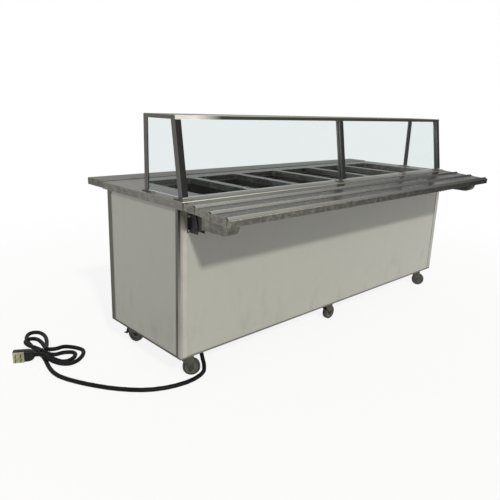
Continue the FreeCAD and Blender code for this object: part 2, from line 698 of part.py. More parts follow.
def root(side, bracket_inset):
    """The arm's root between the bracket's cheeks: two cheeks and a web against the arm's back."""
    left, right = cheek_span(bracket_inset)
    left += ROOT_GAP
    right -= ROOT_GAP
    place = outward(side)
    boss_low = (PIN_OUT, PIN_HEIGHT - ROOT_BOSS)
    boss_side = PIN_HEIGHT + ROOT_BOSS
    bend = ROOT_BOSS * math.cos(math.radians(45))
    steps = [(ARM_BACK, ARM_BOTTOM), (ARM_BACK, ROOT_TOP), (PIN_OUT - ROOT_BOSS, ROOT_TOP),
             (PIN_OUT - ROOT_BOSS, PIN_HEIGHT),
             (PIN_OUT - bend, PIN_HEIGHT - bend, boss_low[0], boss_low[1])]
    solid = prism(side, steps, left, right)
    pocket = [(0, BRACKET_BOTTOM - ROOT_BOSS), (ARM_BACK - ROOT_CHEEK, BRACKET_BOTTOM - ROOT_BOSS),
              (ARM_BACK - ROOT_CHEEK, ROOT_TOP + boss_side), (0, ROOT_TOP + boss_side)]
    solid = solid.cut(prism(side, pocket, left + ROOT_CHEEK, right - ROOT_CHEEK))
    pin = place(PIN_OUT, PIN_HEIGHT)
    return solid.cut(rod(PIN_DIAMETER / 2 + RUNNING_FIT, pin + ALONG * left, pin + ALONG * right))


def bracket(side, inset):
    """A plate on the cabinet's face with two cheeks that carry the pivot pin."""
    right = inset + bracket_width()
    top = BRACKET_BOTTOM + BRACKET_HEIGHT
    plate = prism(side, [(0, BRACKET_BOTTOM), (BRACKET_PLATE, BRACKET_BOTTOM), (BRACKET_PLATE, top), (0, top)],
                  inset, right)
    chamfer = BRACKET_REACH - BRACKET_EAR
    cheek = [(BRACKET_PLATE, BRACKET_BOTTOM), (BRACKET_REACH, BRACKET_BOTTOM),
             (BRACKET_REACH, PIN_HEIGHT + ROOT_BOSS), (chamfer, top), (BRACKET_PLATE, top)]
    inner_left, inner_right = cheek_span(inset)
    place = outward(side)
    pin = place(PIN_OUT, PIN_HEIGHT)
    body = joined([plate, prism(side, cheek, inner_left - BRACKET_CHEEK, inner_left),
                   prism(side, cheek, inner_right, inner_right + BRACKET_CHEEK)])
    body = body.cut(rod(PIN_DIAMETER / 2, pin + ALONG * inset, pin + ALONG * right))
    for x in (inset + BOLT_MARGIN, right - BOLT_MARGIN):
        for z in bracket_bolt_rows():
            body = body.cut(rod(BOLT_DIAMETER / 2, place(0, z) + ALONG * x, place(BRACKET_PLATE, z) + ALONG * x))
    start = pin + ALONG * (inner_left - BRACKET_CHEEK)
    end = pin + ALONG * (inner_right + BRACKET_CHEEK)
    head = ALONG * PIN_HEAD_THICK
    shaft = joined([rod(PIN_DIAMETER / 2, start - head, end + head), rod(PIN_HEAD / 2, start - head, start),
                    rod(PIN_HEAD / 2, end, end + head)])
    return [body, shaft]


def brackets():
    for name, side, inset in (("tray_brackets", "front", BRACKET_INSET),
                              ("shelf_brackets", "rear", SHELF_BRACKET_INSET)):
        solids = bracket(side, inset)
        write(name, solids + [mirrored(solid) for solid in solids])


def bracket_bolt_rows():
    return [BRACKET_BOTTOM + BOLT_ROW_MARGIN, BRACKET_BOTTOM + BRACKET_HEIGHT - BOLT_ROW_MARGIN]


def bracket_bolt_columns(inset):
    near = inset + BOLT_MARGIN
    far = inset + bracket_width() - BOLT_MARGIN
    return [near, far, LENGTH - near, LENGTH - far]


# ---- casters ----
# Each is drawn about its swivel axis, its wheel trailing along +X, then turned and placed.

def caster_place(row, column):
    x = {"left": CASTER_END_INSET, "middle": MIDDLE, "right": LENGTH - CASTER_END_INSET}[column]
    return x, {"front": CASTER_SIDE_INSET, "rear": DEPTH - CASTER_SIDE_INSET}[row]


def set_caster(solid, row, column, heading):
    x, y = caster_place(row, column)
    return solid.rotated(V(0, 0, 0), UP, heading).translated(V(x, y, 0))


def caster_plate():
    top = block(-PLATE_LENGTH / 2, PLATE_LENGTH / 2, -PLATE_WIDTH / 2, PLATE_WIDTH / 2,
                CABINET_BOTTOM - PLATE_THICK, CABINET_BOTTOM)
    race = rod(RACE_RADIUS, V(0, 0, RACE_BOTTOM), V(0, 0, CABINET_BOTTOM - PLATE_THICK))
    head_top = CROWN_BOTTOM - SWIVEL_GAP
    kingpin = rod(KINGPIN_DIAMETER / 2, V(0, 0, head_top - KINGPIN_HEAD_THICK), V(0, 0, RACE_BOTTOM))
    head = rod(KINGPIN_HEAD_RADIUS, V(0, 0, head_top - KINGPIN_HEAD_THICK), V(0, 0, head_top))
    return joined([top, race, kingpin, head])


def caster_fork(braked):
    """The crown and its two legs, with the axle bolt and, on a braked caster, the lever's pin."""
    outer = LEG_INNER + LEG_THICK
    crown = block(-CROWN_LEAD, CROWN_TAIL, -outer, outer, CROWN_BOTTOM, CROWN_TOP)
    steps = [(-CROWN_LEAD, CROWN_TOP), (CROWN_TAIL, CROWN_TOP), (TRAIL + LEG_END_RADIUS, WHEEL_RADIUS),
             (TRAIL, WHEEL_RADIUS - LEG_END_RADIUS, TRAIL - LEG_END_RADIUS, WHEEL_RADIUS),
             (-CROWN_LEAD, LEG_SHOULDER)]
    leg = sheet_outline(steps, lambda x, z: V(x, LEG_INNER, z)).extrude(V(0, LEG_THICK, 0))
    fork = joined([crown, leg, leg.mirror(V(0, 0, 0), REARWARD)])
    fork = fork.cut(rod(KINGPIN_DIAMETER / 2 + RUNNING_FIT, V(0, 0, CROWN_BOTTOM), V(0, 0, CROWN_TOP)))
    fork = fork.cut(across(AXLE_DIAMETER / 2, TRAIL, WHEEL_RADIUS, outer))
    start = V(TRAIL, outer, WHEEL_RADIUS)
    end = start + REARWARD * AXLE_HEAD_THICK
    head = hexagon(AXLE_HEAD_FLATS, start, end)
    nut = head.mirror(V(0, 0, 0), REARWARD)
    axle = joined([across(AXLE_DIAMETER / 2, TRAIL, WHEEL_RADIUS, outer + AXLE_HEAD_THICK), head, nut])
    if not braked:
        return [fork, axle]
    fork = fork.cut(across(LEVER_PIN / 2, LEVER_PIVOT_X, LEVER_PIVOT_Z, outer))
    return [fork, axle, across(LEVER_PIN / 2, LEVER_PIVOT_X, LEVER_PIVOT_Z, outer)]


def across(radius, x, z, reach):
    """A rod across the caster, from -reach to +reach."""
    return rod(radius, V(x, -reach, z), V(x, reach, z))


def caster_wheel():
    """The tyre and its hub: a rim ring, a thinner web and a boss on the axle."""
    tyre = across(WHEEL_RADIUS, TRAIL, WHEEL_RADIUS, TYRE_WIDTH / 2)
    rims = [edge for edge in tyre.Edges if isinstance(edge.Curve, Part.Circle)]
    tyre = tyre.makeFillet(TYRE_EDGE, rims)
    tyre = tyre.cut(across(HUB_RADIUS + TYRE_FIT, TRAIL, WHEEL_RADIUS, TYRE_WIDTH))
    ring = across(HUB_RADIUS, TRAIL, WHEEL_RADIUS, TYRE_WIDTH / 2)
    ring = ring.cut(across(HUB_RADIUS - HUB_RIM, TRAIL, WHEEL_RADIUS, TYRE_WIDTH))
    web = across(HUB_RADIUS - HUB_RIM / 2, TRAIL, WHEEL_RADIUS, HUB_WEB / 2)
    boss = across(BOSS_RADIUS, TRAIL, WHEEL_RADIUS, BOSS_WIDTH / 2)
    hub = joined([ring, web, boss])
    return [tyre, hub.cut(across(AXLE_DIAMETER / 2 + RUNNING_FIT, TRAIL, WHEEL_RADIUS, BOSS_WIDTH))]


def brake_lever():
    """A strap in front of the wheel, hung from a barrel on its pin, with a foot pedal."""
    strap_outer = LEVER_STRAP_X
    strap_inner = LEVER_STRAP_X + LEVER_SHEET
    steps = [(LEVER_PIVOT_X - LEVER_SHEET, LEVER_PIVOT_Z), (LEVER_PIVOT_X, LEVER_PIVOT_Z),
             (strap_inner, LEVER_KNEE_Z), (strap_inner, PEDAL_Z), (PEDAL_TIP_X, PEDAL_Z),
             (PEDAL_TIP_X, PEDAL_Z + LEVER_SHEET), (strap_outer, PEDAL_Z + LEVER_SHEET),
             (strap_outer, LEVER_KNEE_Z)]
    half = LEVER_WIDTH / 2
    strap = sheet_outline(steps, lambda x, z: V(x, -half, z)).extrude(V(0, LEVER_WIDTH, 0))
    barrel = across(LEVER_BARREL, LEVER_PIVOT_X, LEVER_PIVOT_Z, LEG_INNER - KNOB_GAP)
    lever = joined([strap, barrel])
    return lever.cut(across(LEVER_PIN / 2 + RUNNING_FIT, LEVER_PIVOT_X, LEVER_PIVOT_Z, LEG_INNER))


def casters():
    plates = []
    for row, column, heading in CASTERS:
        name = row + "_" + column
        braked = (row, column) in BRAKED
        plates.append(set_caster(caster_plate(), row, column, 0))
        fork = [set_caster(solid, row, column, heading) for solid in caster_fork(braked)]
        write("caster_fork_" + name, fork)
        wheel = [set_caster(solid, row, column, heading) for solid in caster_wheel()]
        write("caster_wheel_" + name, wheel)
        if braked:
            write("brake_lever_" + name, [set_caster(brake_lever(), row, column, heading)])
    write("caster_plates", plates)


# ---- fasteners ----

def bolt(at, outward_way, grip):
    """A hex head on a surface, its shank going in."""
    head = hexagon(BOLT_HEAD_FLATS, at, at + outward_way * BOLT_HEAD_THICK)
    if grip == 0:
        return head
    return joined([head, rod(BOLT_DIAMETER / 2, at - outward_way * grip, at)])


def apron_screw_places():
    """The screws through the countertop's left apron."""
    rear = V(TOP_LEFT, TOP_REAR - SCREW_INSET, COUNTER_TOP - SCREW_DROP)
    return [rear - REARWARD * SCREW_PITCH, rear]


def apron_screw(place):
    head = rod(SCREW_HEAD / 2, place - ALONG * SCREW_HEAD_THICK, place)
    return joined([head, rod(SCREW_DIAMETER / 2, place, place + ALONG * SCREW_GRIP)])


def fasteners():
    bolts = []
    front = outward("front")
    rear = outward("rear")
    for z in bracket_bolt_rows():
        for x in bracket_bolt_columns(BRACKET_INSET):
            bolts.append(bolt(front(BRACKET_PLATE, z) + ALONG * x, REARWARD * -1, BOLT_GRIP))
        for x in bracket_bolt_columns(SHELF_BRACKET_INSET):
            bolts.append(bolt(rear(BRACKET_PLATE, z) + ALONG * x, REARWARD, BRACKET_PLATE + SHEET))
    for row, column, _ in CASTERS:
        x, y = caster_place(row, column)
        for dx in (-PLATE_BOLT_X, PLATE_BOLT_X):
            for dy in (-PLATE_BOLT_Y, PLATE_BOLT_Y):
                bolts.append(bolt(V(x + dx, y + dy, CABINET_BOTTOM - PLATE_THICK), UP * -1, 0))
    for place in apron_screw_places():
        bolts += both_ends(apron_screw(place))
    write("fasteners", bolts)


# ---- mains lead ----

def strain_relief():
    at = V(GLAND_X, GLAND_Y, 0)
    deck_under = DECK_TOP - SHEET
    hex_low = deck_under - GLAND_HEX_THICK
    nose = Part.makeCone(CORD_DIAMETER / 2 + SHEET, GLAND_NOSE_RADIUS, hex_low - GLAND_MOUTH, at + UP * GLAND_MOUTH)
    grip = hexagon(GLAND_HEX, at + UP * hex_low, at + UP * deck_under)
    barrel = rod(GLAND_BARREL_RADIUS, at + UP * deck_under, at + UP * (DECK_TOP + GLAND_NUT_THICK))
    nut = hexagon(GLAND_HEX, at + UP * DECK_TOP, at + UP * (DECK_TOP + GLAND_NUT_THICK))
    write("strain_relief", [joined([nose, grip, barrel, nut])])


def junction_box():
    half = BOX_SIZE / 2
    outer = block(GLAND_X - half, GLAND_X + half, GLAND_Y - half, GLAND_Y + half, DECK_TOP, DECK_TOP + BOX_HEIGHT)
    inner = block(GLAND_X - half + SHEET, GLAND_X + half - SHEET, GLAND_Y - half + SHEET, GLAND_Y + half - SHEET,
                  DECK_TOP, DECK_TOP + BOX_HEIGHT - SHEET)
    write("junction_box", [outer.cut(inner)])


def cord_run():
    """Straight runs joined by tangent arcs, each arc as large as its two runs allow."""
    points = [V(*point) for point in CORD_ROUTE]
    edges = []
    radii = []
    here = points[0]
    for before, corner, after in zip(points, points[1:], points[2:]):
        into = corner - before
        out = after - corner
        reach = 0.45 * min(into.Length, out.Length)
        half_turn = into.getAngle(out) / 2
        radii.append(reach / math.tan(half_turn))
        start = corner - V(into).normalize() * reach
        end = corner + V(out).normalize() * reach
        inward = V(start + end - corner * 2).normalize()
        middle = corner + inward * (radii[-1] * (1 / math.cos(half_turn) - 1))
        edges.append(Part.LineSegment(here, start).toShape())
        edges.append(Part.Arc(start, middle, end).toShape())
        here = end
    edges.append(Part.LineSegment(here, points[-1]).toShape())
    path = Part.Wire(edges)
    tube = swept_cord(path)
    print("cord radii", [round(radius) for radius in radii])
    print("cord length", round(path.Length), "volume ratio",
          round(tube.Volume / (math.pi * CORD_REST ** 2 * path.Length), 4))
    write("cord_run", [tube])


def swept_cord(path):
    start = path.OrderedVertexes[0].Point
    tangent = path.OrderedEdges[0].tangentAt(path.OrderedEdges[0].FirstParameter)
    circle = Part.Wire([Part.makeCircle(CORD_DIAMETER / 2, start, tangent)])
    shell = Part.BRepOffsetAPI.MakePipeShell(path)
    shell.add(circle)
    shell.build()
    shell.makeSolid()
    return shell.shape()


def loop_point(loop, angle, offset):
    """A point of a teardrop loop that leaves the tie at 0 degrees and returns at 360."""
    heading, length, half_width = loop
    s = length * math.sin(math.radians(angle / 2))
    opening = s * s / (s * s + LOOP_OPENING ** 2)
    h = offset * math.cos(math.radians(angle / 2)) + half_width * math.sin(math.radians(angle)) * opening
    along = V(math.cos(math.radians(heading)), math.sin(math.radians(heading)), 0)
    left = V(-along.y, along.x, 0)
    return V(TIE_X, TIE_Y, 0) + along * s + left * h


def hank_points():
    """The tied lead's way: a far loop, an inner loop, a small one and an outer one, in two layers."""
    low = CORD_REST + TIE_WALL + TIE_CLEARANCE
    high = low + CORD_DIAMETER + CORD_GAP
    column = (CORD_DIAMETER + CORD_GAP) / 2

    def strand(side, height):
        """A strand through the tie and its point a little north of it."""
        return [V(TIE_X + side * column, TIE_Y, height),
                V(TIE_X + side * (column + STRAND_SPREAD), TIE_Y + STRAND_REACH, height)]

    def free(step, height):
        return V(TIE_X + step[0], TIE_Y + step[1], height + step[2])

    start = V(*CORD_ROUTE[-1])
    heading = V(*CORD_ROUTE[-1]) - V(*CORD_ROUTE[-2])
    points = [start, start + heading.normalize() * CORD_DIAMETER]
    points += strand(-1, low)
    points += [loop_point(LOOP_FAR, angle, column) + UP * CORD_REST for angle in range(45, 316, 45)]
    points += strand(1, low)[::-1] + [free(BEFORE_INNER, CORD_REST)]
    points += [loop_point(LOOP_INNER, angle, 0) + UP * CORD_REST for angle in range(60, 301, 40)]
    points += [free(AFTER_INNER[0], CORD_REST), free(AFTER_INNER[1], high)]
    points += strand(-1, high)
    points += [loop_point(LOOP_SMALL, angle, column) + UP * high for angle in range(65, 296, 46)]
    points += strand(1, high)[::-1] + [free(BEFORE_OUTER, high)]
    for index, angle in enumerate(range(50, 271, 44)):
        points.append(loop_point(LOOP_OUTER, angle, 0) + UP * (high if index == 0 else CORD_REST))
    points += [free(step, CORD_REST) for step in OVER_THE_RUN]
    end = V(PLUG_END_X, PLUG_END_Y, PLUG_HEIGHT / 2)
    points += [end + plug_axis() * CORD_DIAMETER, end]
    return points


def plug_axis():
    """The way the plug's neck points, towards the lead."""
    return V(math.cos(math.radians(PLUG_HEADING)), math.sin(math.radians(PLUG_HEADING)), 0)


def tangent_arc(start, tangent, end):
    """The arc from start to end that leaves along a tangent, or a line where it is straight."""
    chord = end - start
    along = V(chord).normalize()
    across_way = tangent - along * tangent.dot(along)
    if across_way.Length < 1e-6:
        return Part.LineSegment(start, end).toShape()
    half_turn = tangent.getAngle(along)
    sagitta = chord.Length / 2 * math.tan(half_turn / 2)
    middle = start + chord / 2 + across_way.normalize() * sagitta
    return Part.Arc(start, middle, end).toShape()


def biarc(start, leaving, end, arriving):
    """Two arcs from one point and direction to the next."""
    span = end - start
    spread = 2 * (1 - leaving.dot(arriving))
    both = leaving + arriving
    if spread < 1e-9:
        reach = span.dot(span) / (4 * span.dot(arriving))
    else:
        reach = (-span.dot(both) + math.sqrt(span.dot(both) ** 2 + spread * span.dot(span))) / spread
    middle = (start + leaving * reach + end - arriving * reach) / 2
    back = tangent_arc(end, arriving * -1, middle)
    return [tangent_arc(start, leaving, middle), back]


def cord_hank():
    points = hank_points()
    ways = [V(points[1] - points[0]).normalize(), V(points[1] - points[0]).normalize()]
    for before, here, after in zip(points[1:], points[2:], points[3:-1]):
        near = (here - before).Length
        far = (after - here).Length
        way = (here - before) * (far / near) + (after - here) * (near / far)
        if here.z == CORD_REST:
            way.z = 0
        ways.append(way.normalize())
    ways += [V(points[-1] - points[-2]).normalize(), V(points[-1] - points[-2]).normalize()]
    edges = [Part.LineSegment(points[0], points[1]).toShape()]
    for index in range(1, len(points) - 2):
        edges += biarc(points[index], ways[index], points[index + 1], ways[index + 1])
    edges.append(Part.LineSegment(points[-2], points[-1]).toShape())
    path = Part.Wire(edges)
    tube = swept_cord(path)
    print("hank tightest radius", round(min(edge.Curve.Radius for edge in edges
                                            if isinstance(edge.Curve, Part.Circle)), 1))
    print("hank length", round(path.Length), "volume ratio",
          round(tube.Volume / (math.pi * CORD_REST ** 2 * path.Length), 4))
    print("hank least gap to itself", round(least_gap(path), 2))
    write("cord_hank", [tube])


def least_gap(path):
    """The least space between two stretches of the tube, measured on points along its middle."""
    step = 4.0
    points = path.discretize(int(path.Length / step))
    apart = int(2.2 * CORD_DIAMETER / step) + 1
    least = path.Length
    for first, point in enumerate(points):
        for other in points[first + apart:]:
            least = min(least, (point - other).Length)
    return least - CORD_DIAMETER


def cord_tie():
    """A strap round the four strands at the crossing."""
    half = CORD_DIAMETER + CORD_GAP / 2 + TIE_STRAND_GAP
    top = TIE_WALL + 2 * CORD_DIAMETER + CORD_GAP + 3 * TIE_CLEARANCE
    outer = block(TIE_X - half - TIE_WALL, TIE_X + half + TIE_WALL, TIE_Y - TIE_WIDTH / 2, TIE_Y + TIE_WIDTH / 2,
                  0, top + TIE_WALL)
    inner = block(TIE_X - half, TIE_X + half, TIE_Y - TIE_WIDTH / 2, TIE_Y + TIE_WIDTH / 2, TIE_WALL, top)
    write("cord_tie", [outer.cut(inner)])


def plug():
    """The moulded plug, drawn with its neck along +X and its pin face towards -Y, then turned."""
    half = PLUG_HEIGHT / 2
    head = rounded_x_block(-PLUG_NECK - PLUG_FACE, -PLUG_NECK, PLUG_BODY / 2, half, PLUG_EDGE_RADIUS)
    neck = Part.makeLoft([rectangle_at(-PLUG_NECK, PLUG_BODY / 2, half),
                          rectangle_at(0, PLUG_NECK_END / 2, PLUG_NECK_END / 2)], True)
    face = block(-PLUG_NECK - PLUG_FACE + SHEET, -PLUG_NECK - SHEET, -PLUG_BODY / 2 - PLUG_FACE_THICK,
                 -PLUG_BODY / 2, -half + SHEET, half - SHEET)
    solids = [joined([head, neck]), face]
    middle = -PLUG_NECK - PLUG_FACE / 2
    front = -PLUG_BODY / 2 - PLUG_FACE_THICK
    for dx in (-BLADE_OFFSET, BLADE_OFFSET):
        for dz in (-BLADE_OFFSET, BLADE_OFFSET):
            solids.append(block(middle + dx - BLADE_THICK / 2, middle + dx + BLADE_THICK / 2,
                                front - BLADE_LENGTH, front, dz - BLADE_WIDTH / 2, dz + BLADE_WIDTH / 2))
    placed = []
    for solid in solids:
        turned = solid.rotated(V(0, 0, 0), UP, PLUG_HEADING)
        placed.append(turned.translated(V(PLUG_END_X, PLUG_END_Y, half)))
    write("plug", placed)


def rectangle_at(x, half_y, half_z):
    return Part.makePolygon([V(x, -half_y, -half_z), V(x, half_y, -half_z), V(x, half_y, half_z),
                             V(x, -half_y, half_z), V(x, -half_y, -half_z)])


def rounded_x_block(x0, x1, half_y, half_z, radius):
    """A block whose edges at its far end are rounded."""
    solid = block(x0, x1, -half_y, half_y, -half_z, half_z)
    far = [edge for edge in solid.Edges if abs(edge.CenterOfMass.x - x0) < 1e-6]
    return solid.makeFillet(radius, far)


base_frame()
corner_posts()
panels()
deck()
mid_support()
heat_shield()
countertop()
wells()
heating_elements()
control_panel()
heat_controls()
knobs()
pilot_lights()
guard_front_posts()
guard_rear_posts()
guard_shelf()
guard_glass()
tray_slide()
work_shelf()
arms()
brackets()
casters()
fasteners()
strain_relief()
junction_box()
cord_run()
cord_hank()
cord_tie()
plug()
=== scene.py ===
import json
import math

import bmesh
import bpy
from mathutils import Matrix, Vector


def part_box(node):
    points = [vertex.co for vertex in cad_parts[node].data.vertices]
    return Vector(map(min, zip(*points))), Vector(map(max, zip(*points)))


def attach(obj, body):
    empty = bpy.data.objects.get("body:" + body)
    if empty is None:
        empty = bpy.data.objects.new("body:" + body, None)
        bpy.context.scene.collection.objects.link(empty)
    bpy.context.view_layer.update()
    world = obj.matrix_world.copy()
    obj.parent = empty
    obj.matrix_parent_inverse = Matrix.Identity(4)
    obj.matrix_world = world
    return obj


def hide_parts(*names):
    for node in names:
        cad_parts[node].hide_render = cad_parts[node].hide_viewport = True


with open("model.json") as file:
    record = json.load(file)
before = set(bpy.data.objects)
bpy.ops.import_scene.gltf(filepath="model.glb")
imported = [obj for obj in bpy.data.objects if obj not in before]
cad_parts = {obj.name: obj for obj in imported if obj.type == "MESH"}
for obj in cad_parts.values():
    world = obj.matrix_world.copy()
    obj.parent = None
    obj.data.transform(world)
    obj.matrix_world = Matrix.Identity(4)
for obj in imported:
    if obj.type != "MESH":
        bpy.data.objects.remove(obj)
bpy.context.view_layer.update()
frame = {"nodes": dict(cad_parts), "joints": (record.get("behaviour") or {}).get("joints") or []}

NODES = frame["nodes"]
CORNER = Vector(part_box("base_frame")[0])
COLLECTION = bpy.context.scene.collection
CHASSIS = "chassis"
X, Y, Z = range(3)


def at(x, y, z):
    """A point in metres, from millimetres along, back and up from the floor under the front left corner."""
    return Vector((CORNER.x + x / 1000, CORNER.y + y / 1000, z / 1000))


# ---- camera: its place in millimetres and its turns in radians ----
IMAGE_PIXELS = 500.0
FOCAL_PIXELS = 514.6
SENSOR_WIDTH = 36.0
CLIP_START, CLIP_END = 0.05, 60.0
EYE = (-1336.1, -1842.0, 1332.9)
YAW = -0.767
PITCH = -0.273
ROLL = 0.036


def make_camera():
    ahead = Vector((-math.sin(YAW) * math.cos(PITCH), math.cos(YAW) * math.cos(PITCH), math.sin(PITCH)))
    level = Vector((math.cos(YAW), math.sin(YAW), 0))
    above = level.cross(ahead)
    right = level * math.cos(ROLL) + above * math.sin(ROLL)
    up = above * math.cos(ROLL) - level * math.sin(ROLL)
    data = bpy.data.cameras.new("camera")
    data.sensor_width = SENSOR_WIDTH
    data.lens = data.sensor_width * FOCAL_PIXELS / IMAGE_PIXELS
    data.clip_start = CLIP_START
    data.clip_end = CLIP_END
    camera = bpy.data.objects.new("camera", data)
    turn = Matrix((right, up, -ahead)).transposed().to_4x4()
    camera.matrix_world = Matrix.Translation(at(*EYE)) @ turn
    COLLECTION.objects.link(camera)
    bpy.context.scene.camera = camera


make_camera()


# ---- shader nodes ----
# the values that most of a noise lies between
NOISE_RANGE = (0.3, 0.7)


class Nodes:
    """Adds nodes to a tree and links them by the names of their sockets."""

    def __init__(self, tree):
        self.tree = tree

    def add(self, kind, **inputs):
        node = self.tree.nodes.new(kind)
        for name, value in inputs.items():
            self.put(node.inputs[name.replace("_", " ")], value)
        return node

    def put(self, socket, value):
        if isinstance(value, bpy.types.NodeSocket):
            self.tree.links.new(value, socket)
        elif isinstance(value, (tuple, list)) and len(value) == 3 and socket.type == "RGBA":
            socket.default_value = (*value, 1.0)
        else:
            socket.default_value = value

    def math(self, operation, first, second=0.0, third=0.0):
        node = self.tree.nodes.new("ShaderNodeMath")
        node.operation = operation
        for socket, value in zip(node.inputs, (first, second, third)):
            self.put(socket, value)
        return node.outputs[0]

    def vector(self, operation, first, second=None, scale=None):
        """A vector operation. A dot product and a length give a value, the others a vector."""
        node = self.tree.nodes.new("ShaderNodeVectorMath")
        node.operation = operation
        self.put(node.inputs[0], first)
        if second is not None:
            self.put(node.inputs[1], second)
        if scale is not None:
            self.put(node.inputs["Scale"], scale)
        return node.outputs["Value" if operation in ("DOT_PRODUCT", "LENGTH") else "Vector"]

    def axes(self, vector):
        """A vector's X, Y and Z as sockets."""
        return self.add("ShaderNodeSeparateXYZ", Vector=vector).outputs

    def ramp(self, value, low, high, bottom=0.0, top=1.0):
        """From bottom to top as the value goes from low to high, and level outside that range."""
        node = self.add("ShaderNodeMapRange", Value=value, From_Min=low, From_Max=high,
                        To_Min=bottom, To_Max=top)
        return node.outputs[0]

    def mix(self, factor, first, second):
        """A colour between two, second where the factor is 1."""
        node = self.tree.nodes.new("ShaderNodeMix")
        node.data_type = "RGBA"
        for index, value in ((0, factor), (6, first), (7, second)):
            self.put(node.inputs[index], value)
        return node.outputs[2]

    def seen_directly(self):
        """1 for what the camera sees, also in metal and through glass, 0 for what lights the object."""
        path = self.add("ShaderNodeLightPath").outputs
        return self.math("MAXIMUM", path["Is Camera Ray"],
                         self.math("MAXIMUM", path["Is Glossy Ray"], path["Is Transmission Ray"]))


class Surface(Nodes):
    """The nodes of a new material, about its shader and the object's own coordinates in metres."""

    def __init__(self, name):
        self.material = bpy.data.materials.new(name)
        self.material.use_nodes = True
        super().__init__(self.material.node_tree)
        self.shader = self.tree.nodes["Principled BSDF"]
        coordinates = self.add("ShaderNodeTexCoord").outputs
        self.place = coordinates["Object"]
        self.normal = coordinates["Normal"]

    def noise(self, scales, detail=3.0, roughness=0.5):
        """Noise with its own scale along X, Y and Z."""
        mapping = self.add("ShaderNodeMapping", Vector=self.place, Scale=scales)
        node = self.add("ShaderNodeTexNoise", Vector=mapping.outputs[0], Scale=1.0, Detail=detail,
                        Roughness=roughness)
        return node.outputs["Fac"]

    def spread(self, noise, bottom=0.0, top=1.0):
        """A noise stretched over the range from bottom to top."""
        return self.ramp(noise, *NOISE_RANGE, bottom, top)

    def set(self, **inputs):
        for name, value in inputs.items():
            self.put(self.shader.inputs[name.replace("_", " ")], value)

    def bump(self, height, strength, distance):
        node = self.add("ShaderNodeBump", Strength=strength, Distance=distance, Height=height)
        self.set(Normal=node.outputs[0])

    def facing(self):
        """How much a face points along X, Y and Z of the object: three values that add up to 1."""
        return [self.math("MULTIPLY", part, part) for part in self.axes(self.normal)]

    def mix_shaders(self, factor, other):
        """Shows another shader instead of the material's own where the factor is 1."""
        mix = self.tree.nodes.new("ShaderNodeMixShader")
        for socket, value in zip(mix.inputs, (factor, self.shader.outputs[0], other)):
            self.put(socket, value)
        self.put(self.tree.nodes["Material Output"].inputs["Surface"], mix.outputs[0])


# ---- steel: what all its sheets share ----
STEEL_METALLIC = 0.85
STEEL_TINT = (0.45, 0.45, 0.45)
# how far a face has turned to the front or up where that tone starts and where it is full
FRONT_TURN = (0.4, 0.85)
TOP_TURN = (0.3, 0.7)
# marks: noise scales along X, Y and Z, the range of the noise that shows, and its share of the wear
GRAIN_DARKER, GRAIN_PALER = 0.5, 0.3
GRAIN_ROUGHNESS = (-0.05, 0.07)
GRAIN_BUMP, GRAIN_DEPTH = 0.12, 0.0004
SMEAR_SCALES, SMEAR_RANGE, SMEAR_WEAR = (5, 7, 6), (0.35, 0.7), 0.35
SMEAR_ROUGHNESS = (-0.05, 0.1)
SPOT_SCALES, SPOT_RANGE, SPOT_WEAR = (38, 38, 38), (0.62, 0.75), 0.3
BLOTCH_SCALES, BLOTCH_RANGE = (33, 33, 45), (0.47, 0.6)
BLOTCH_TINT = (2.1, 2.05, 1.6)
# painted shade in the slots: half widths in metres of its soft edge and of its dark middle
SLOT_SHADE_HALF_WIDTHS = (0.0042, 0.0018)
SLOT_SHADE_COLOUR = (0.008, 0.008, 0.007)
# highlights: how far an edge faces front and up, and where along X they are full and have faded
HIGHLIGHT_START = -1.1
ROLL_FACING, ROLL_END, ROLL_SHARE_LEFT = (-0.08, -0.35), 0.1, 0.04
ROLL_COLOUR = (0.9, 0.9, 0.7)
EDGE_RADIUS, EDGE_SAMPLES = 0.007, 4
EDGE_TURN = (0.99, 0.9)
EDGE_FACING, EDGE_END, EDGE_SHARE_LEFT = (-0.12, -0.38), 0.2, 0.06
EDGE_FRONT_SHARE, EDGE_SHARE_ELSEWHERE = 0.9, 0.1
EDGE_COLOUR = (0.86, 0.86, 0.66)


def grey(value, warm=0.0):
    """A grey with less blue and a little more red the warmer it is."""
    return (value * (1 + warm * 0.3), value, value * (1 - warm))


def zoned(n, place, tone, warm, zones):
    """A grey that changes along the object, for painted light, shade and reflection that change along it.
    Each zone is an axis, a range along it and the tone beyond it.
    """
    colour = grey(tone, warm)
    for axis, start, end, beyond in zones:
        colour = n.mix(n.ramp(place[axis], start, end), colour, grey(beyond, warm))
    return colour


def front_and_up(n, normal, facing):
    """How much a rounded edge faces the front and up at once."""
    way = n.axes(normal)
    return n.ramp(n.math("MULTIPLY", way[Y], way[Z]), *facing)


def painted_edge_highlight(n, place, strength):
    """Where a sheet's edge gets a painted highlight, most of all where it faces the front and up."""
    rounded = n.add("ShaderNodeBevel", Radius=EDGE_RADIUS)
    rounded.samples = EDGE_SAMPLES
    turn = n.vector("DOT_PRODUCT", rounded.outputs[0], n.add("ShaderNodeNewGeometry").outputs["Normal"])
    along = n.ramp(place[X], HIGHLIGHT_START, EDGE_END, strength, strength * EDGE_SHARE_LEFT)
    highlighted = n.math("MULTIPLY", n.ramp(turn, *EDGE_TURN), along)
    front_up = front_and_up(n, rounded.outputs[0], EDGE_FACING)
    return n.math("MULTIPLY", highlighted, n.math("MULTIPLY_ADD", front_up, EDGE_FRONT_SHARE, EDGE_SHARE_ELSEWHERE))


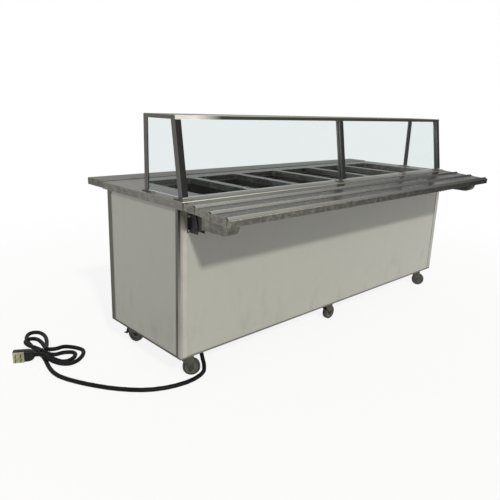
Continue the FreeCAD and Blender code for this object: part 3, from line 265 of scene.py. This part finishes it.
def steel(name, top, side, front, brush=(3, 260, 260), roughness=0.34, wear=0.25, warm=0.05, mottle=0.0,
          edge=0.0, fade=None, zones=(), front_zones=(), roll=0.0, slot_shade_places=()):
    """Brushed stainless steel. Its grain runs along the axis with the small brush scale. The faces that point
    up, sideways and to the front each have a tone, which is painted light and painted reflection: each way
    a face looks gets its own share of the room's light. fade is a range along X and the share of the tone
    left at its far end, a painted reflection that darkens the steel along X. mottle is the strength of pale
    blotches, edge that of painted highlights on edges, and roll that of the painted light on a rolled front
    edge. The last argument holds the places along Y of painted shade in the slots of the side faces."""
    n = Surface(name)
    facing = n.facing()
    place = n.axes(n.place)
    # the tones by the way a face points, and the zones along the object, are painted light and painted
    # reflection
    side_tone = zoned(n, place, side, warm, zones)
    front_tone = zoned(n, place, front, warm, front_zones)
    # painted shade in the slots of the side faces
    for middle in slot_shade_places:
        off = n.math("ABSOLUTE", n.math("SUBTRACT", place[Y], middle))
        side_tone = n.mix(n.ramp(off, *SLOT_SHADE_HALF_WIDTHS), side_tone, SLOT_SHADE_COLOUR)
    tone = n.mix(n.ramp(facing[Y], *FRONT_TURN), side_tone, front_tone)
    tone = n.mix(n.ramp(facing[Z], *TOP_TURN), tone, grey(top, warm))
    grain = n.noise(brush, detail=4.0, roughness=0.65)
    smear = n.noise(SMEAR_SCALES, detail=4.0, roughness=0.6)
    spots = n.noise(SPOT_SCALES)
    if mottle:
        blotch = n.ramp(n.noise(BLOTCH_SCALES, detail=4.0, roughness=0.7), *BLOTCH_RANGE, 0.0, mottle)
        amount = n.math("MULTIPLY", blotch, n.math("SUBTRACT", 1.0, facing[Z]))
        tone = n.mix(amount, tone, tuple(side * tint for tint in BLOTCH_TINT))
    shade = n.math("ADD", n.spread(grain, 1 - wear * GRAIN_DARKER, 1 + wear * GRAIN_PALER),
                   n.ramp(smear, *SMEAR_RANGE, -wear * SMEAR_WEAR, wear * SMEAR_WEAR))
    shade = n.math("ADD", shade, n.ramp(spots, *SPOT_RANGE, 0.0, -wear * SPOT_WEAR))
    # painted reflection: the steel darkens along X
    if fade:
        start, end, left = fade
        shade = n.math("MULTIPLY", shade, n.ramp(place[X], start, end, 1.0, left))
    colour = n.vector("SCALE", tone, scale=shade)
    if roll:
        along = n.ramp(place[X], HIGHLIGHT_START, ROLL_END, roll, roll * ROLL_SHARE_LEFT)
        lit = n.math("MULTIPLY", front_and_up(n, n.normal, ROLL_FACING), along)
        colour = n.mix(lit, colour, ROLL_COLOUR)
    # painted highlight on the sheet's edges, strongest at the left
    if edge:
        colour = n.mix(painted_edge_highlight(n, place, edge), colour, EDGE_COLOUR)
    by_grain = n.spread(grain, *(roughness + change for change in GRAIN_ROUGHNESS))
    by_smear = n.ramp(smear, *SMEAR_RANGE, *SMEAR_ROUGHNESS)
    n.set(Base_Color=colour, Metallic=STEEL_METALLIC, Specular_Tint=STEEL_TINT,
          Roughness=n.math("ADD", by_grain, by_smear))
    n.bump(grain, GRAIN_BUMP, GRAIN_DEPTH)
    return n.material


# ---- the other materials ----

def tinted(colour, share, lift=0.0):
    """A colour made darker or paler."""
    return tuple(min(1.0, part * share + lift) for part in colour)


HANDLING_SCALES, HANDLING_RANGE = (9, 9, 9), (0.35, 0.65)
HANDLING_ROUGHNESS = (-0.06, 0.08)
PALE_LIFT = 0.004
PEEL_BUMP = 0.15


def painted(name, colour, roughness=0.5, speckle=0.12, grain=480.0, depth=0.0003, metallic=0.0,
            specular=0.4):
    """Paint or moulded plastic: a fine orange peel, handling marks and slightly uneven gloss."""
    n = Surface(name)
    marks = n.noise(HANDLING_SCALES, detail=4.0)
    peel = n.noise((grain, grain, grain), detail=2.0)
    dark = tinted(colour, 1 - speckle)
    pale = tinted(colour, 1 + speckle, lift=PALE_LIFT)
    n.set(Base_Color=n.mix(n.ramp(marks, *HANDLING_RANGE), dark, pale), Metallic=metallic,
          Specular_IOR_Level=specular,
          Roughness=n.spread(marks, *(roughness + change for change in HANDLING_ROUGHNESS)))
    n.bump(peel, PEEL_BUMP, depth)
    return n.material


CLOUD_SCALES = (1.6, 1.6, 2.2)
CLOUD_DARK, CLOUD_PALE = 0.972, 1.02
CLOUD_ROUGHNESS = (0.4, 0.5)
GRIME_SCALES, GRIME_RANGE = (14, 14, 6), (0.52, 0.74)
GRIME_TINT = 0.72
# heights in metres where the grime is full and where only its least share is left
GRIME_HEIGHTS = (0.13, 0.42)
GRIME_SHARE_LOW, GRIME_SHARE_LEAST = 0.5, 0.12
EMBOSS_SCALES = (1400, 1400, 1400)
EMBOSS_BUMP, EMBOSS_DEPTH = 0.08, 0.0002
LAMINATE_SPECULAR = 0.35


def laminate(name, colour):
    """Pale laminate on board: a very fine emboss, faint cloudiness and scuffs low down."""
    n = Surface(name)
    cloud = n.noise(CLOUD_SCALES, detail=5.0, roughness=0.55)
    dirt = n.noise(GRIME_SCALES, detail=5.0, roughness=0.65)
    emboss = n.noise(EMBOSS_SCALES, detail=1.0)
    low = n.ramp(n.axes(n.place)[Z], *GRIME_HEIGHTS, 1.0, 0.0)
    share = n.math("MULTIPLY_ADD", low, GRIME_SHARE_LOW, GRIME_SHARE_LEAST)
    grime = n.math("MULTIPLY", n.ramp(dirt, *GRIME_RANGE), share)
    clean = n.mix(n.spread(cloud), tinted(colour, CLOUD_DARK), tinted(colour, CLOUD_PALE))
    n.set(Base_Color=n.mix(grime, clean, tinted(colour, GRIME_TINT)),
          Roughness=n.spread(cloud, *CLOUD_ROUGHNESS), Specular_IOR_Level=LAMINATE_SPECULAR)
    n.bump(emboss, EMBOSS_BUMP, EMBOSS_DEPTH)
    return n.material


THIN_PANE_IOR = 1.15
PANE_SMEAR_SCALES, PANE_SMEAR_RANGE = (6, 6, 10), (0.55, 0.75)
PANE_SMEAR_ROUGHNESS = 0.02
# the counter's middle along X, in metres
MIDDLE = (-0.05, 0.05)


def glass(name, colour, far_colour=None):
    """Clear glass that lets light straight through for shadows, as thin panes do. far_colour is for panes
    past the middle of the counter, which are seen through another pane."""
    n = Surface(name)
    if far_colour:
        colour = n.mix(n.ramp(n.axes(n.place)[X], *MIDDLE), colour, far_colour)
    smear = n.noise(PANE_SMEAR_SCALES)
    n.set(Base_Color=colour, Transmission_Weight=1.0, IOR=THIN_PANE_IOR,
          Roughness=n.ramp(smear, *PANE_SMEAR_RANGE, 0.0, PANE_SMEAR_ROUGHNESS))
    through = n.add("ShaderNodeBsdfTransparent", Color=colour).outputs[0]
    n.mix_shaders(n.add("ShaderNodeLightPath").outputs["Is Shadow Ray"], through)
    return n.material


HUB_RADIUS = 0.033
DUST_SCALES = (70, 70, 70)
RUBBER_RANGE, NYLON_RANGE, DUSTY_RANGE = (0.4, 0.7), (0.35, 0.65), (0.35, 0.7)
CLEAN_RUBBER, DUSTY_RUBBER = (0.012, 0.012, 0.012), (0.05, 0.049, 0.045)
DARK_NYLON, PALE_NYLON = (0.055, 0.056, 0.052), (0.15, 0.152, 0.14)
WHEEL_ROUGHNESS = (0.5, 0.75)
DUST_BUMP, DUST_DEPTH = 0.2, 0.0006


def wheel_material(name, centre, axle):
    """Dark rubber outside the hub's radius about the axle, grey moulded nylon inside it."""
    n = Surface(name)
    off_axle = n.vector("CROSS_PRODUCT", n.vector("SUBTRACT", n.place, centre), axle)
    tyre = n.math("GREATER_THAN", n.vector("LENGTH", off_axle), HUB_RADIUS)
    dust = n.noise(DUST_SCALES, detail=4.0, roughness=0.6)
    rubber = n.mix(n.ramp(dust, *RUBBER_RANGE), CLEAN_RUBBER, DUSTY_RUBBER)
    nylon = n.mix(n.ramp(dust, *NYLON_RANGE), DARK_NYLON, PALE_NYLON)
    n.set(Base_Color=n.mix(tyre, nylon, rubber), Roughness=n.ramp(dust, *DUSTY_RANGE, *WHEEL_ROUGHNESS))
    n.bump(dust, DUST_BUMP, DUST_DEPTH)
    return n.material


# ---- the list of materials; zones, fades and the painted shade in slots are places in metres ----
UPRIGHT_BRUSH = (260, 260, 4)
EVEN_BRUSH = (60, 60, 60)
# the places along Y of painted shade in the tray slide's slots, at its ridges
TRAY_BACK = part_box("tray_slide")[1][Y] - 0.0022
TRAY_SLOT_SHADE_PLACES = [TRAY_BACK - out for out in (0.077, 0.184, 0.2915)]
PANE_COLOUR = (0.79, 0.84, 0.84)

# the stainless parts below differ in their top, side and front tones from part to part and face to face:
# painted light and painted reflection. edge and roll are painted highlights
TOP_STEEL = steel("top_steel", 0.3, 0.17, 0.12, roughness=0.3, warm=0.08, mottle=0.3, edge=0.5, roll=1.0)
SHELF_STEEL = steel("shelf_steel", 0.21, 0.13, 0.12, roughness=0.36, warm=0.08, mottle=0.4, edge=0.2)
# the guard shelf's pale front at its left end is a painted highlight; it turns dark further right
CROSS_STEEL = steel("cross_steel", 0.2, 0.12, 0.85, warm=0.1, edge=0.7, roll=0.8,
                    front_zones=((X, -1.09, -0.93, 0.05),))
# the tray slide darkens along X, a painted reflection
TRAY_STEEL = steel("tray_steel", 0.33, 0.14, 0.11, roughness=0.24, wear=0.15, warm=0.07, mottle=0.45,
                   edge=1.0, fade=(-1.1, 1.25, 0.12), slot_shade_places=TRAY_SLOT_SHADE_PLACES)
# the guard posts: dark fronts and sides that pale further right are painted reflection; the pale front of
# each foot is a painted highlight
POST_STEEL = steel("post_steel", 0.3, 0.12, 0.03, brush=UPRIGHT_BRUSH, roughness=0.3,
                   zones=((X, -0.95, -0.85, 0.2),), front_zones=((Z, 0.927, 0.9255, 0.4),))
# the corner posts: pale low down and dark above, a darker strip away from the corner and a paler strip on the
# front, all painted reflection
CORNER_STEEL = steel("corner_steel", 0.3, 0.36, 0.38, brush=UPRIGHT_BRUSH, roughness=0.35, warm=0.1,
                     zones=((Z, 0.35, 0.85, 0.015), (Y, -0.2420, -0.2415, 0.13)),
                     front_zones=((X, -1.2060, -1.2055, 0.5),))
RAIL_STEEL = steel("rail_steel", 0.3, 0.09, 0.2, roughness=0.35, warm=0.1)
# the wells: their dark tones are painted shade inside them, and edge is a painted highlight on their rims
WELL_STEEL = steel("well_steel", 0.08, 0.03, 0.045, warm=0.25, wear=0.6, roughness=0.42, edge=0.8)
ARM_STEEL = steel("arm_steel", 0.2, 0.15, 0.1, brush=(260, 4, 40), wear=0.5, warm=0.1, mottle=0.4)
INNER_STEEL = steel("inner_steel", 0.3, 0.25, 0.25)
ZINC = steel("zinc_plate", 0.14, 0.1, 0.1, brush=EVEN_BRUSH, roughness=0.45, wear=0.6, warm=0.15)
# the bolts: their pale tone below 0.875 m is a painted highlight and their dark tone above 0.88 m is painted
# shade
BOLT_STEEL = steel("bolt_steel", 0.8, 0.8, 0.8, brush=(90, 90, 90), roughness=0.3, wear=0.3,
                   zones=((Z, 0.875, 0.88, 0.05),))
LAMINATE = laminate("pale_laminate", (0.395, 0.393, 0.368))
BOARD = laminate("board", (0.42, 0.42, 0.39))
BLACK_STEEL = painted("black_steel", (0.018, 0.018, 0.017), roughness=0.42, speckle=0.5)
BLACK_PLASTIC = painted("black_plastic", (0.006, 0.006, 0.006), speckle=0.3, specular=0.2)
WHITE_MARK = painted("white_mark", (0.75, 0.75, 0.72))
CREAM_FACE = painted("cream_face", (0.33, 0.33, 0.21), roughness=0.45, speckle=0.3)
BRASS_PIN = painted("brass_pin", (0.06, 0.045, 0.025), roughness=0.4, speckle=0.4, metallic=0.5)
RED_LENS = painted("red_lens", (0.45, 0.02, 0.015), roughness=0.15, speckle=0.1)
ELEMENT = painted("cast_element", (0.3, 0.3, 0.3), speckle=0.3, metallic=0.8)
RUBBER = painted("cord_rubber", (0.0025, 0.0025, 0.003), roughness=0.55, speckle=0.4, grain=320.0,
                 depth=0.0004, specular=0.12)
CLEAR_GLASS = glass("clear_glass", PANE_COLOUR)
END_GLASS = glass("end_glass", PANE_COLOUR, far_colour=(0.97, 0.98, 0.98))

LOOKS = {
    TOP_STEEL: ["countertop"],
    SHELF_STEEL: ["work_shelf"],
    CROSS_STEEL: ["guard_shelf"],
    TRAY_STEEL: ["tray_slide"],
    CORNER_STEEL: ["corner_posts"],
    RAIL_STEEL: ["base_frame"],
    INNER_STEEL: ["deck", "heat_shield", "control_panel"],
    POST_STEEL: ["guard_front_posts", "guard_rear_posts"],
    ARM_STEEL: ["tray_arms", "shelf_arms"],
    WELL_STEEL: ["well_"],
    ZINC: ["caster_plates", "caster_fork"],
    BOLT_STEEL: ["fasteners"],
    LAMINATE: ["front_panel", "left_end_panel", "right_end_panel"],
    BOARD: ["mid_support"],
    BLACK_STEEL: ["tray_arm_roots", "tray_brackets", "shelf_brackets", "brake_lever"],
    CLEAR_GLASS: ["front_glass"],
    END_GLASS: ["end_glass"],
    RED_LENS: ["pilot_lights"],
    ELEMENT: ["heating_elements"],
}
WHEEL_NODE = "caster_wheel"
WHEEL_BODY = "wheel"


def look_of(node_name):
    """The material of a node, by the start of its name. Each wheel has its own, about its own axle."""
    if node_name.startswith(WHEEL_NODE):
        body = WHEEL_BODY + node_name[len(WHEEL_NODE):]
        spin = next(joint for joint in frame["joints"] if joint["child"] == body)
        return wheel_material(node_name, spin["pos_m"], spin["axis"])
    for look, starts in LOOKS.items():
        if node_name.startswith(tuple(starts)):
            return look
    return BLACK_PLASTIC


for name_of_node, node_object in NODES.items():
    node_object.data.materials.clear()
    node_object.data.materials.append(look_of(name_of_node))


# ---- building pieces ----

def piece(name, mesh, material, body, slot, *nodes, smooth=False):
    """An object that rides on a body and stands for the nodes, if any are named."""
    made = bpy.data.objects.new(name, mesh)
    COLLECTION.objects.link(made)
    mesh.materials.append(material)
    for polygon in mesh.polygons:
        polygon.use_smooth = smooth
    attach(made, body)
    if nodes:
        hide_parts(*nodes)
    return made


def from_bmesh(bm, name, matrix=None):
    """A mesh made from bm, moved by the matrix if there is one."""
    if matrix is not None:
        bmesh.ops.transform(bm, matrix=matrix, verts=bm.verts)
    mesh = bpy.data.meshes.new(name)
    bmesh.ops.recalc_face_normals(bm, faces=bm.faces)
    bm.to_mesh(mesh)
    bm.free()
    return mesh


def rounded_box(size, radius, segments=3):
    """A box about the origin with rounded edges, sizes in metres."""
    bm = bmesh.new()
    bmesh.ops.create_cube(bm, size=1.0)
    bmesh.ops.scale(bm, vec=size, verts=bm.verts)
    bmesh.ops.bevel(bm, geom=list(bm.edges), offset=radius, segments=segments, affect="EDGES",
                    profile=0.5)
    return bm


def join_rings(bm, rings):
    """Faces between each ring of vertices and the next."""
    count = len(rings[0])
    for first, second in zip(rings, rings[1:]):
        for step in range(count):
            following = (step + 1) % count
            bm.faces.new((first[step], first[following], second[following], second[step]))


def close_ends(bm, rings):
    """A face over the first ring and one over the last."""
    bm.faces.new(rings[0])
    bm.faces.new(rings[-1])


def corners_of(node_name):
    """A node's lowest and highest corners as vectors."""
    low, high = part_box(node_name)
    return Vector(low), Vector(high)


# ---- mains lead: the same points as the part's own route, in millimetres ----
CORD_DIAMETER = 22.0
CORD_REST = CORD_DIAMETER / 2
CORD_GAP = 2.8
CORD_ROUTE = [(222, 128, 118), (222, 128, 94), (219, 120, 70), (210, 98, 46), (193, 60, 26), (167, 25, 11),
              (136, 6, 11), (99, -6, 11), (61, -12, 11), (6, -11, 11), (-81, 9, 11), (-173, 58, 11),
              (-265, 152, 11), (-338, 259, 11), (-392, 360, 11), (-421, 437, 11), (-427, 505, 11),
              (-418, 572, 11), (-410, 610, 11)]
TIE = (-382.0, 706.0)
TIE_WALL = 1.4
TIE_CLEARANCE = 0.4
# each loop is its heading in degrees, its length and its half width
LOOP_FAR = (79.0, 319.0, 47.0)
LOOP_INNER = (-51.0, 168.0, 69.0)
LOOP_SMALL = (94.0, 182.0, 34.0)
LOOP_OUTER = (-46.0, 206.0, 107.0)
LOOP_OPENING = 55.3
STRAND_REACH = 40.0
STRAND_SPREAD = 6.7
# free points between the loops, as steps from the tie
BEFORE_INNER = (35, -38, 0)
AFTER_INNER = [(2, -70, 9), (0, -33, -5)]
BEFORE_OUTER = (48, -28, 0)
OVER_THE_RUN = [(-7, -129, 13), (-19, -89, 22), (-21, -54, 29)]
PLUG_HEADING = -28.8
PLUG_END = (-437.0, 699.0, 31.0)


def direction(heading):
    """The level direction at a heading in degrees."""
    return Vector((math.cos(math.radians(heading)), math.sin(math.radians(heading)), 0))


def loop_point(loop, angle, offset, height):
    """A point of a teardrop loop that leaves the tie at 0 degrees and returns at 360."""
    heading, length, half_width = loop
    reach = length * math.sin(math.radians(angle / 2))
    opening = reach * reach / (reach * reach + LOOP_OPENING ** 2)
    aside = offset * math.cos(math.radians(angle / 2)) + half_width * math.sin(math.radians(angle)) * opening
    way = direction(heading)
    return (TIE[0] + way.x * reach - way.y * aside, TIE[1] + way.y * reach + way.x * aside, height)


def hank_points():
    """The tied lead's way: a far loop, an inner loop, a small one and an outer one, in two layers."""
    low = CORD_REST + TIE_WALL + TIE_CLEARANCE
    high = low + CORD_DIAMETER + CORD_GAP
    column = (CORD_DIAMETER + CORD_GAP) / 2

    def strand(side, height):
        return [(TIE[0] + side * column, TIE[1], height),
                (TIE[0] + side * (column + STRAND_SPREAD), TIE[1] + STRAND_REACH, height)]

    def free(step, height):
        return (TIE[0] + step[0], TIE[1] + step[1], height + step[2])

    heading = (Vector(CORD_ROUTE[-1]) - Vector(CORD_ROUTE[-2])).normalized()
    points = [tuple(Vector(CORD_ROUTE[-1]) + heading * CORD_DIAMETER)]
    points += strand(-1, low)
    points += [loop_point(LOOP_FAR, angle, column, CORD_REST) for angle in range(45, 316, 45)]
    points += strand(1, low)[::-1] + [free(BEFORE_INNER, CORD_REST)]
    points += [loop_point(LOOP_INNER, angle, 0, CORD_REST) for angle in range(60, 301, 40)]
    points += [free(AFTER_INNER[0], CORD_REST), free(AFTER_INNER[1], high)]
    points += strand(-1, high)
    points += [loop_point(LOOP_SMALL, angle, column, high) for angle in range(65, 296, 46)]
    points += strand(1, high)[::-1] + [free(BEFORE_OUTER, high)]
    for index, angle in enumerate(range(50, 271, 44)):
        points.append(loop_point(LOOP_OUTER, angle, 0, high if index == 0 else CORD_REST))
    points += [free(step, CORD_REST) for step in OVER_THE_RUN]
    end = Vector(PLUG_END)
    return points + [tuple(end + direction(PLUG_HEADING) * CORD_DIAMETER), tuple(end)]


STEPS_PER_POINT = 14


def spline_points(points):
    """Points along the smooth NURBS line whose control points are the route's."""
    curve = bpy.data.curves.new("route", "CURVE")
    curve.dimensions = "3D"
    curve.resolution_u = STEPS_PER_POINT
    spline = curve.splines.new("NURBS")
    spline.points.add(len(points) - 1)
    for control, point in zip(spline.points, points):
        control.co = (*at(*point), 1.0)
    spline.order_u = 3
    spline.use_endpoint_u = True
    holder = bpy.data.objects.new("route", curve)
    mesh = bpy.data.meshes.new_from_object(holder)
    line = [vertex.co.copy() for vertex in mesh.vertices]
    bpy.data.objects.remove(holder)
    bpy.data.meshes.remove(mesh)
    return line


CORES = 3
TWIST_PITCH = 0.055
CORE_DEPTH = 0.035
TUBE_SIDES = 24
SHORTEST_NORMAL = 1e-4


def tube_mesh(name, line, radius):
    """A round tube along a line with the faint twist of its cores showing through the jacket."""
    bm = bmesh.new()
    rings = []
    normal = Vector((0, 0, 1))
    walked = 0.0
    for index, point in enumerate(line):
        before = line[max(index - 1, 0)]
        after = line[min(index + 1, len(line) - 1)]
        tangent = (after - before).normalized()
        normal = normal - tangent * normal.dot(tangent)
        if normal.length < SHORTEST_NORMAL:
            normal = tangent.orthogonal()
        normal.normalize()
        side = tangent.cross(normal)
        walked += (point - line[index - 1]).length if index else 0.0
        ring = []
        for step in range(TUBE_SIDES):
            angle = 2 * math.pi * step / TUBE_SIDES
            core = math.cos(CORES * angle - 2 * math.pi * walked / TWIST_PITCH)
            reach = radius * (1 - CORE_DEPTH * (1 - core) / 2)
            ring.append(bm.verts.new(point + (normal * math.cos(angle) + side * math.sin(angle)) * reach))
        rings.append(ring)
    join_rings(bm, rings)
    close_ends(bm, rings)
    return from_bmesh(bm, name)


# ---- plug, in metres from the end of its neck, backwards along its length ----
# each section is its place, half width and half height
PLUG_SECTIONS = [(0.0, 0.0135, 0.0150), (-0.003, 0.0150, 0.0190), (-0.007, 0.0156, 0.0225),
                 (-0.010, 0.0168, 0.0250), (-0.015, 0.0170, 0.0266), (-0.018, 0.0182, 0.0282),
                 (-0.024, 0.0184, 0.0290), (-0.027, 0.0192, 0.0300), (-0.042, 0.0195, 0.0303),
                 (-0.046, 0.0198, 0.0306), (-0.100, 0.0198, 0.0306), (-0.1035, 0.017, 0.028)]
CORNER_SHARE = 0.4
CORNER_STEPS = 4
FACE_SIZE = (0.0555, 0.003, 0.0595)
FACE_ROUNDING = 0.0012
FACE_PLACE = (-0.075, -0.0215, 0)
BLADE_SIZE = (0.0025, 0.022, 0.012)
BLADE_ROUNDING = 0.0006
BLADE_OUT = -0.034
BLADE_SPREAD = 0.013


def make_plug():
    """The moulded plug: ribbed body and neck, cream face and four dark blades."""
    turn = Matrix.Rotation(math.radians(PLUG_HEADING), 4, "Z")
    plug_frame = Matrix.Translation(at(*PLUG_END)) @ turn
    bm = bmesh.new()
    rings = []
    for x, half_y, half_z in PLUG_SECTIONS:
        corner = min(half_y, half_z) * CORNER_SHARE
        ring = []
        for quadrant, (sy, sz) in enumerate(((1, 1), (-1, 1), (-1, -1), (1, -1))):
            for step in range(CORNER_STEPS + 1):
                angle = math.pi / 2 * (quadrant + step / CORNER_STEPS)
                ring.append(bm.verts.new((x, sy * (half_y - corner) + corner * math.cos(angle),
                                          sz * (half_z - corner) + corner * math.sin(angle))))
        rings.append(ring)
    join_rings(bm, rings)
    close_ends(bm, rings)
    mesh = from_bmesh(bm, "plug_body", plug_frame)
    parts = [piece("plug_body", mesh, BLACK_PLASTIC, CHASSIS, "black_plastic", "plug", smooth=True)]
    mesh = from_bmesh(rounded_box(FACE_SIZE, FACE_ROUNDING), "plug_face",
                      plug_frame @ Matrix.Translation(FACE_PLACE))
    parts.append(piece("plug_face", mesh, CREAM_FACE, CHASSIS, "black_plastic", "plug"))
    for index, (across, up) in enumerate(((-1, -1), (-1, 1), (1, -1), (1, 1))):
        shift = Matrix.Translation((FACE_PLACE[X] + across * BLADE_SPREAD, BLADE_OUT, up * BLADE_SPREAD))
        name = "plug_blade_%d" % (index + 1)
        mesh = from_bmesh(rounded_box(BLADE_SIZE, BLADE_ROUNDING, segments=2), name, plug_frame @ shift)
        parts.append(piece(name, mesh, BRASS_PIN, CHASSIS, "black_plastic", "plug"))
    return parts


TIE_STEPS = 48
TIE_SQUARENESS = 0.45


def make_tie():
    """A narrow strap round the four strands."""
    low, high = corners_of("cord_tie")
    middle = (low + high) / 2
    half = (high - low) / 2
    thick = TIE_WALL / 1000
    bm = bmesh.new()
    rings = []
    for step in range(TIE_STEPS):
        angle = 2 * math.pi * step / TIE_STEPS
        out_x, out_z = [math.copysign(abs(part) ** TIE_SQUARENESS, part)
                        for part in (math.cos(angle), math.sin(angle))]
        rings.append([bm.verts.new((middle.x + out_x * (half.x - inset), middle.y + aside,
                                    middle.z + out_z * (half.z - inset)))
                      for inset, aside in ((0, -half.y), (0, half.y), (thick, half.y), (thick, -half.y))])
    join_rings(bm, rings + rings[:1])
    return piece("tie_strap", from_bmesh(bm, "tie_strap"), BLACK_PLASTIC, CHASSIS, "black_plastic",
                 "cord_tie")


def make_cord():
    line = spline_points(CORD_ROUTE + hank_points())
    radius = CORD_DIAMETER / 2000
    lead = piece("mains_lead", tube_mesh("mains_lead", line, radius), RUBBER, CHASSIS, "cord_rubber",
                 "cord_run", "cord_hank", smooth=True)
    with_pieces = make_plug() + [make_tie()]


make_cord()


# ---- painted shade inside the slots at the tray slide's ends: dark strips, in metres ----
TRAY_DROOP = math.radians(4.0)
TRAY_EDGE = 0.032
RIDGES = (0.077, 0.1845, 0.292)
RIDGE_HEIGHT = 0.009
SLOT_SHADE_STRIP = (0.0008, 0.009, 0.033)
SLOT_SHADE_ROUNDING = 0.0002
SLOT_SHADE_INSET = 0.0023
SLOT_SHADE_BELOW = 0.0125


def make_slot_shade_strips():
    """A dark strip inside each end flange of the tray slide, under the end of each ridge: painted shade
    inside its slot.
    """
    low, high = corners_of("tray_slide")
    sine, cosine = math.sin(TRAY_DROOP), math.cos(TRAY_DROOP)
    inner_y = high.y - TRAY_EDGE * sine
    top_z = high.z - RIDGE_HEIGHT * cosine + RIDGES[0] * sine
    tilt = Matrix.Rotation(TRAY_DROOP, 4, "X")
    for end, x in (("left", low.x + SLOT_SHADE_INSET), ("right", high.x - SLOT_SHADE_INSET)):
        bm = bmesh.new()
        for out in RIDGES:
            y = inner_y - out * cosine + SLOT_SHADE_BELOW * sine
            z = top_z - out * sine - SLOT_SHADE_BELOW * cosine
            mesh = from_bmesh(rounded_box(SLOT_SHADE_STRIP, SLOT_SHADE_ROUNDING, segments=1), "strip")
            mesh.transform(Matrix.Translation((x, y, z)) @ tilt)
            bm.from_mesh(mesh)
            bpy.data.meshes.remove(mesh)
        name = "slot_backs_" + end
        piece(name, from_bmesh(bm, name), BLACK_STEEL, "tray", "black_steel")


make_slot_shade_strips()


# ---- details on the operator's side, in metres ----
KNOBS = 6
DIAL_MARKS = 11
DIAL_STEP = 27
DIAL_RADIUS = 0.029
MARK_WIDTH = 0.0014
MARK_THICKNESS = 0.0004
MARK_LENGTH = 0.007
LONG_MARK_LENGTH = 0.010
LONG_MARK_EVERY = 5
LIFT = 0.0002
POINTER_SIZE = (0.0022, 0.0008, 0.015)
POINTER_ROUNDING = 0.0003
POINTER_BELOW_TOP = 0.0105


def make_dials():
    """A ring of short marks and a pointer for each heat knob."""
    panel_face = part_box("control_panel")[1][Y]
    for number in range(1, KNOBS + 1):
        low, high = corners_of("knob_%d" % number)
        centre = (low + high) / 2
        bm = bmesh.new()
        for step in range(DIAL_MARKS):
            angle = math.radians(90 - DIAL_STEP * step)
            mark = bmesh.ops.create_cube(bm, size=1.0)["verts"]
            tall = MARK_LENGTH if step % LONG_MARK_EVERY else LONG_MARK_LENGTH
            scale = Matrix.Diagonal((MARK_WIDTH, MARK_THICKNESS, tall, 1.0))
            turn = Matrix.Rotation(angle - math.pi / 2, 4, "Y")
            out = Vector((-math.cos(angle), 0, math.sin(angle))) * DIAL_RADIUS
            place = Matrix.Translation((centre.x + out.x, panel_face + LIFT, centre.z + out.z))
            bmesh.ops.transform(bm, matrix=place @ turn @ scale, verts=mark)
        piece("dial_marks_%d" % number, from_bmesh(bm, "dial"), BLACK_PLASTIC, CHASSIS, "black_plastic")
        place = Matrix.Translation((centre.x, high.y + LIFT, high.z - POINTER_BELOW_TOP))
        pointer = from_bmesh(rounded_box(POINTER_SIZE, POINTER_ROUNDING, segments=2), "pointer", place)
        piece("knob_pointer_%d" % number, pointer, WHITE_MARK, "knob_body_%d" % number, "black_plastic")


make_dials()


# ---- light and floor ----
WHITE = (1.0, 1.0, 1.0)
SKY_ON_OBJECT = 0.4
SKY_SEEN = 1.0
SUN_STRENGTH = 2.1
SUN_WIDTH = math.radians(4.0)
SUN_COLOUR = (1.0, 0.995, 0.88)
TOWARDS_SUN = (-0.275, -0.745, 0.608)
FLOOR_HALF_SIZE = 30.0
FLOOR_COLOUR = (0.88, 0.88, 0.88)
FLOOR_ROUGHNESS = 0.9
# the floor's glow lets a faint shadow show near the object and is full far from it, where all is white
GLOW_START, GLOW_END = 1.6, 4.0
GLOW_NEAR, GLOW_FAR = 0.87, 1.0


def world_light():
    world = bpy.data.worlds.new("studio")
    bpy.context.scene.world = world
    world.use_nodes = True
    n = Nodes(world.node_tree)
    background = n.tree.nodes["Background"]
    n.put(background.inputs["Color"], WHITE)
    n.put(background.inputs["Strength"], n.ramp(n.seen_directly(), 0.0, 1.0, SKY_ON_OBJECT, SKY_SEEN))


def sun_light():
    data = bpy.data.lights.new("sun", "SUN")
    data.energy = SUN_STRENGTH
    data.angle = SUN_WIDTH
    data.color = SUN_COLOUR
    sun = bpy.data.objects.new("sun", data)
    sun.matrix_world = Vector(TOWARDS_SUN).to_track_quat("Z", "Y").to_matrix().to_4x4()
    COLLECTION.objects.link(sun)


def make_floor():
    bm = bmesh.new()
    bmesh.ops.create_grid(bm, x_segments=1, y_segments=1, size=FLOOR_HALF_SIZE)
    mesh = from_bmesh(bm, "floor")
    floor = bpy.data.objects.new("floor", mesh)
    COLLECTION.objects.link(floor)
    n = Surface("floor")
    n.set(Base_Color=FLOOR_COLOUR, Roughness=FLOOR_ROUGHNESS)
    glow = n.add("ShaderNodeEmission", Color=WHITE, Strength=1.0).outputs[0]
    share = n.ramp(n.vector("LENGTH", n.place), GLOW_START, GLOW_END, GLOW_NEAR, GLOW_FAR)
    n.mix_shaders(n.math("MULTIPLY", n.seen_directly(), share), glow)
    mesh.materials.append(n.material)


world_light()
sun_light()
make_floor()
bpy.context.scene.view_settings.view_transform = "Standard"
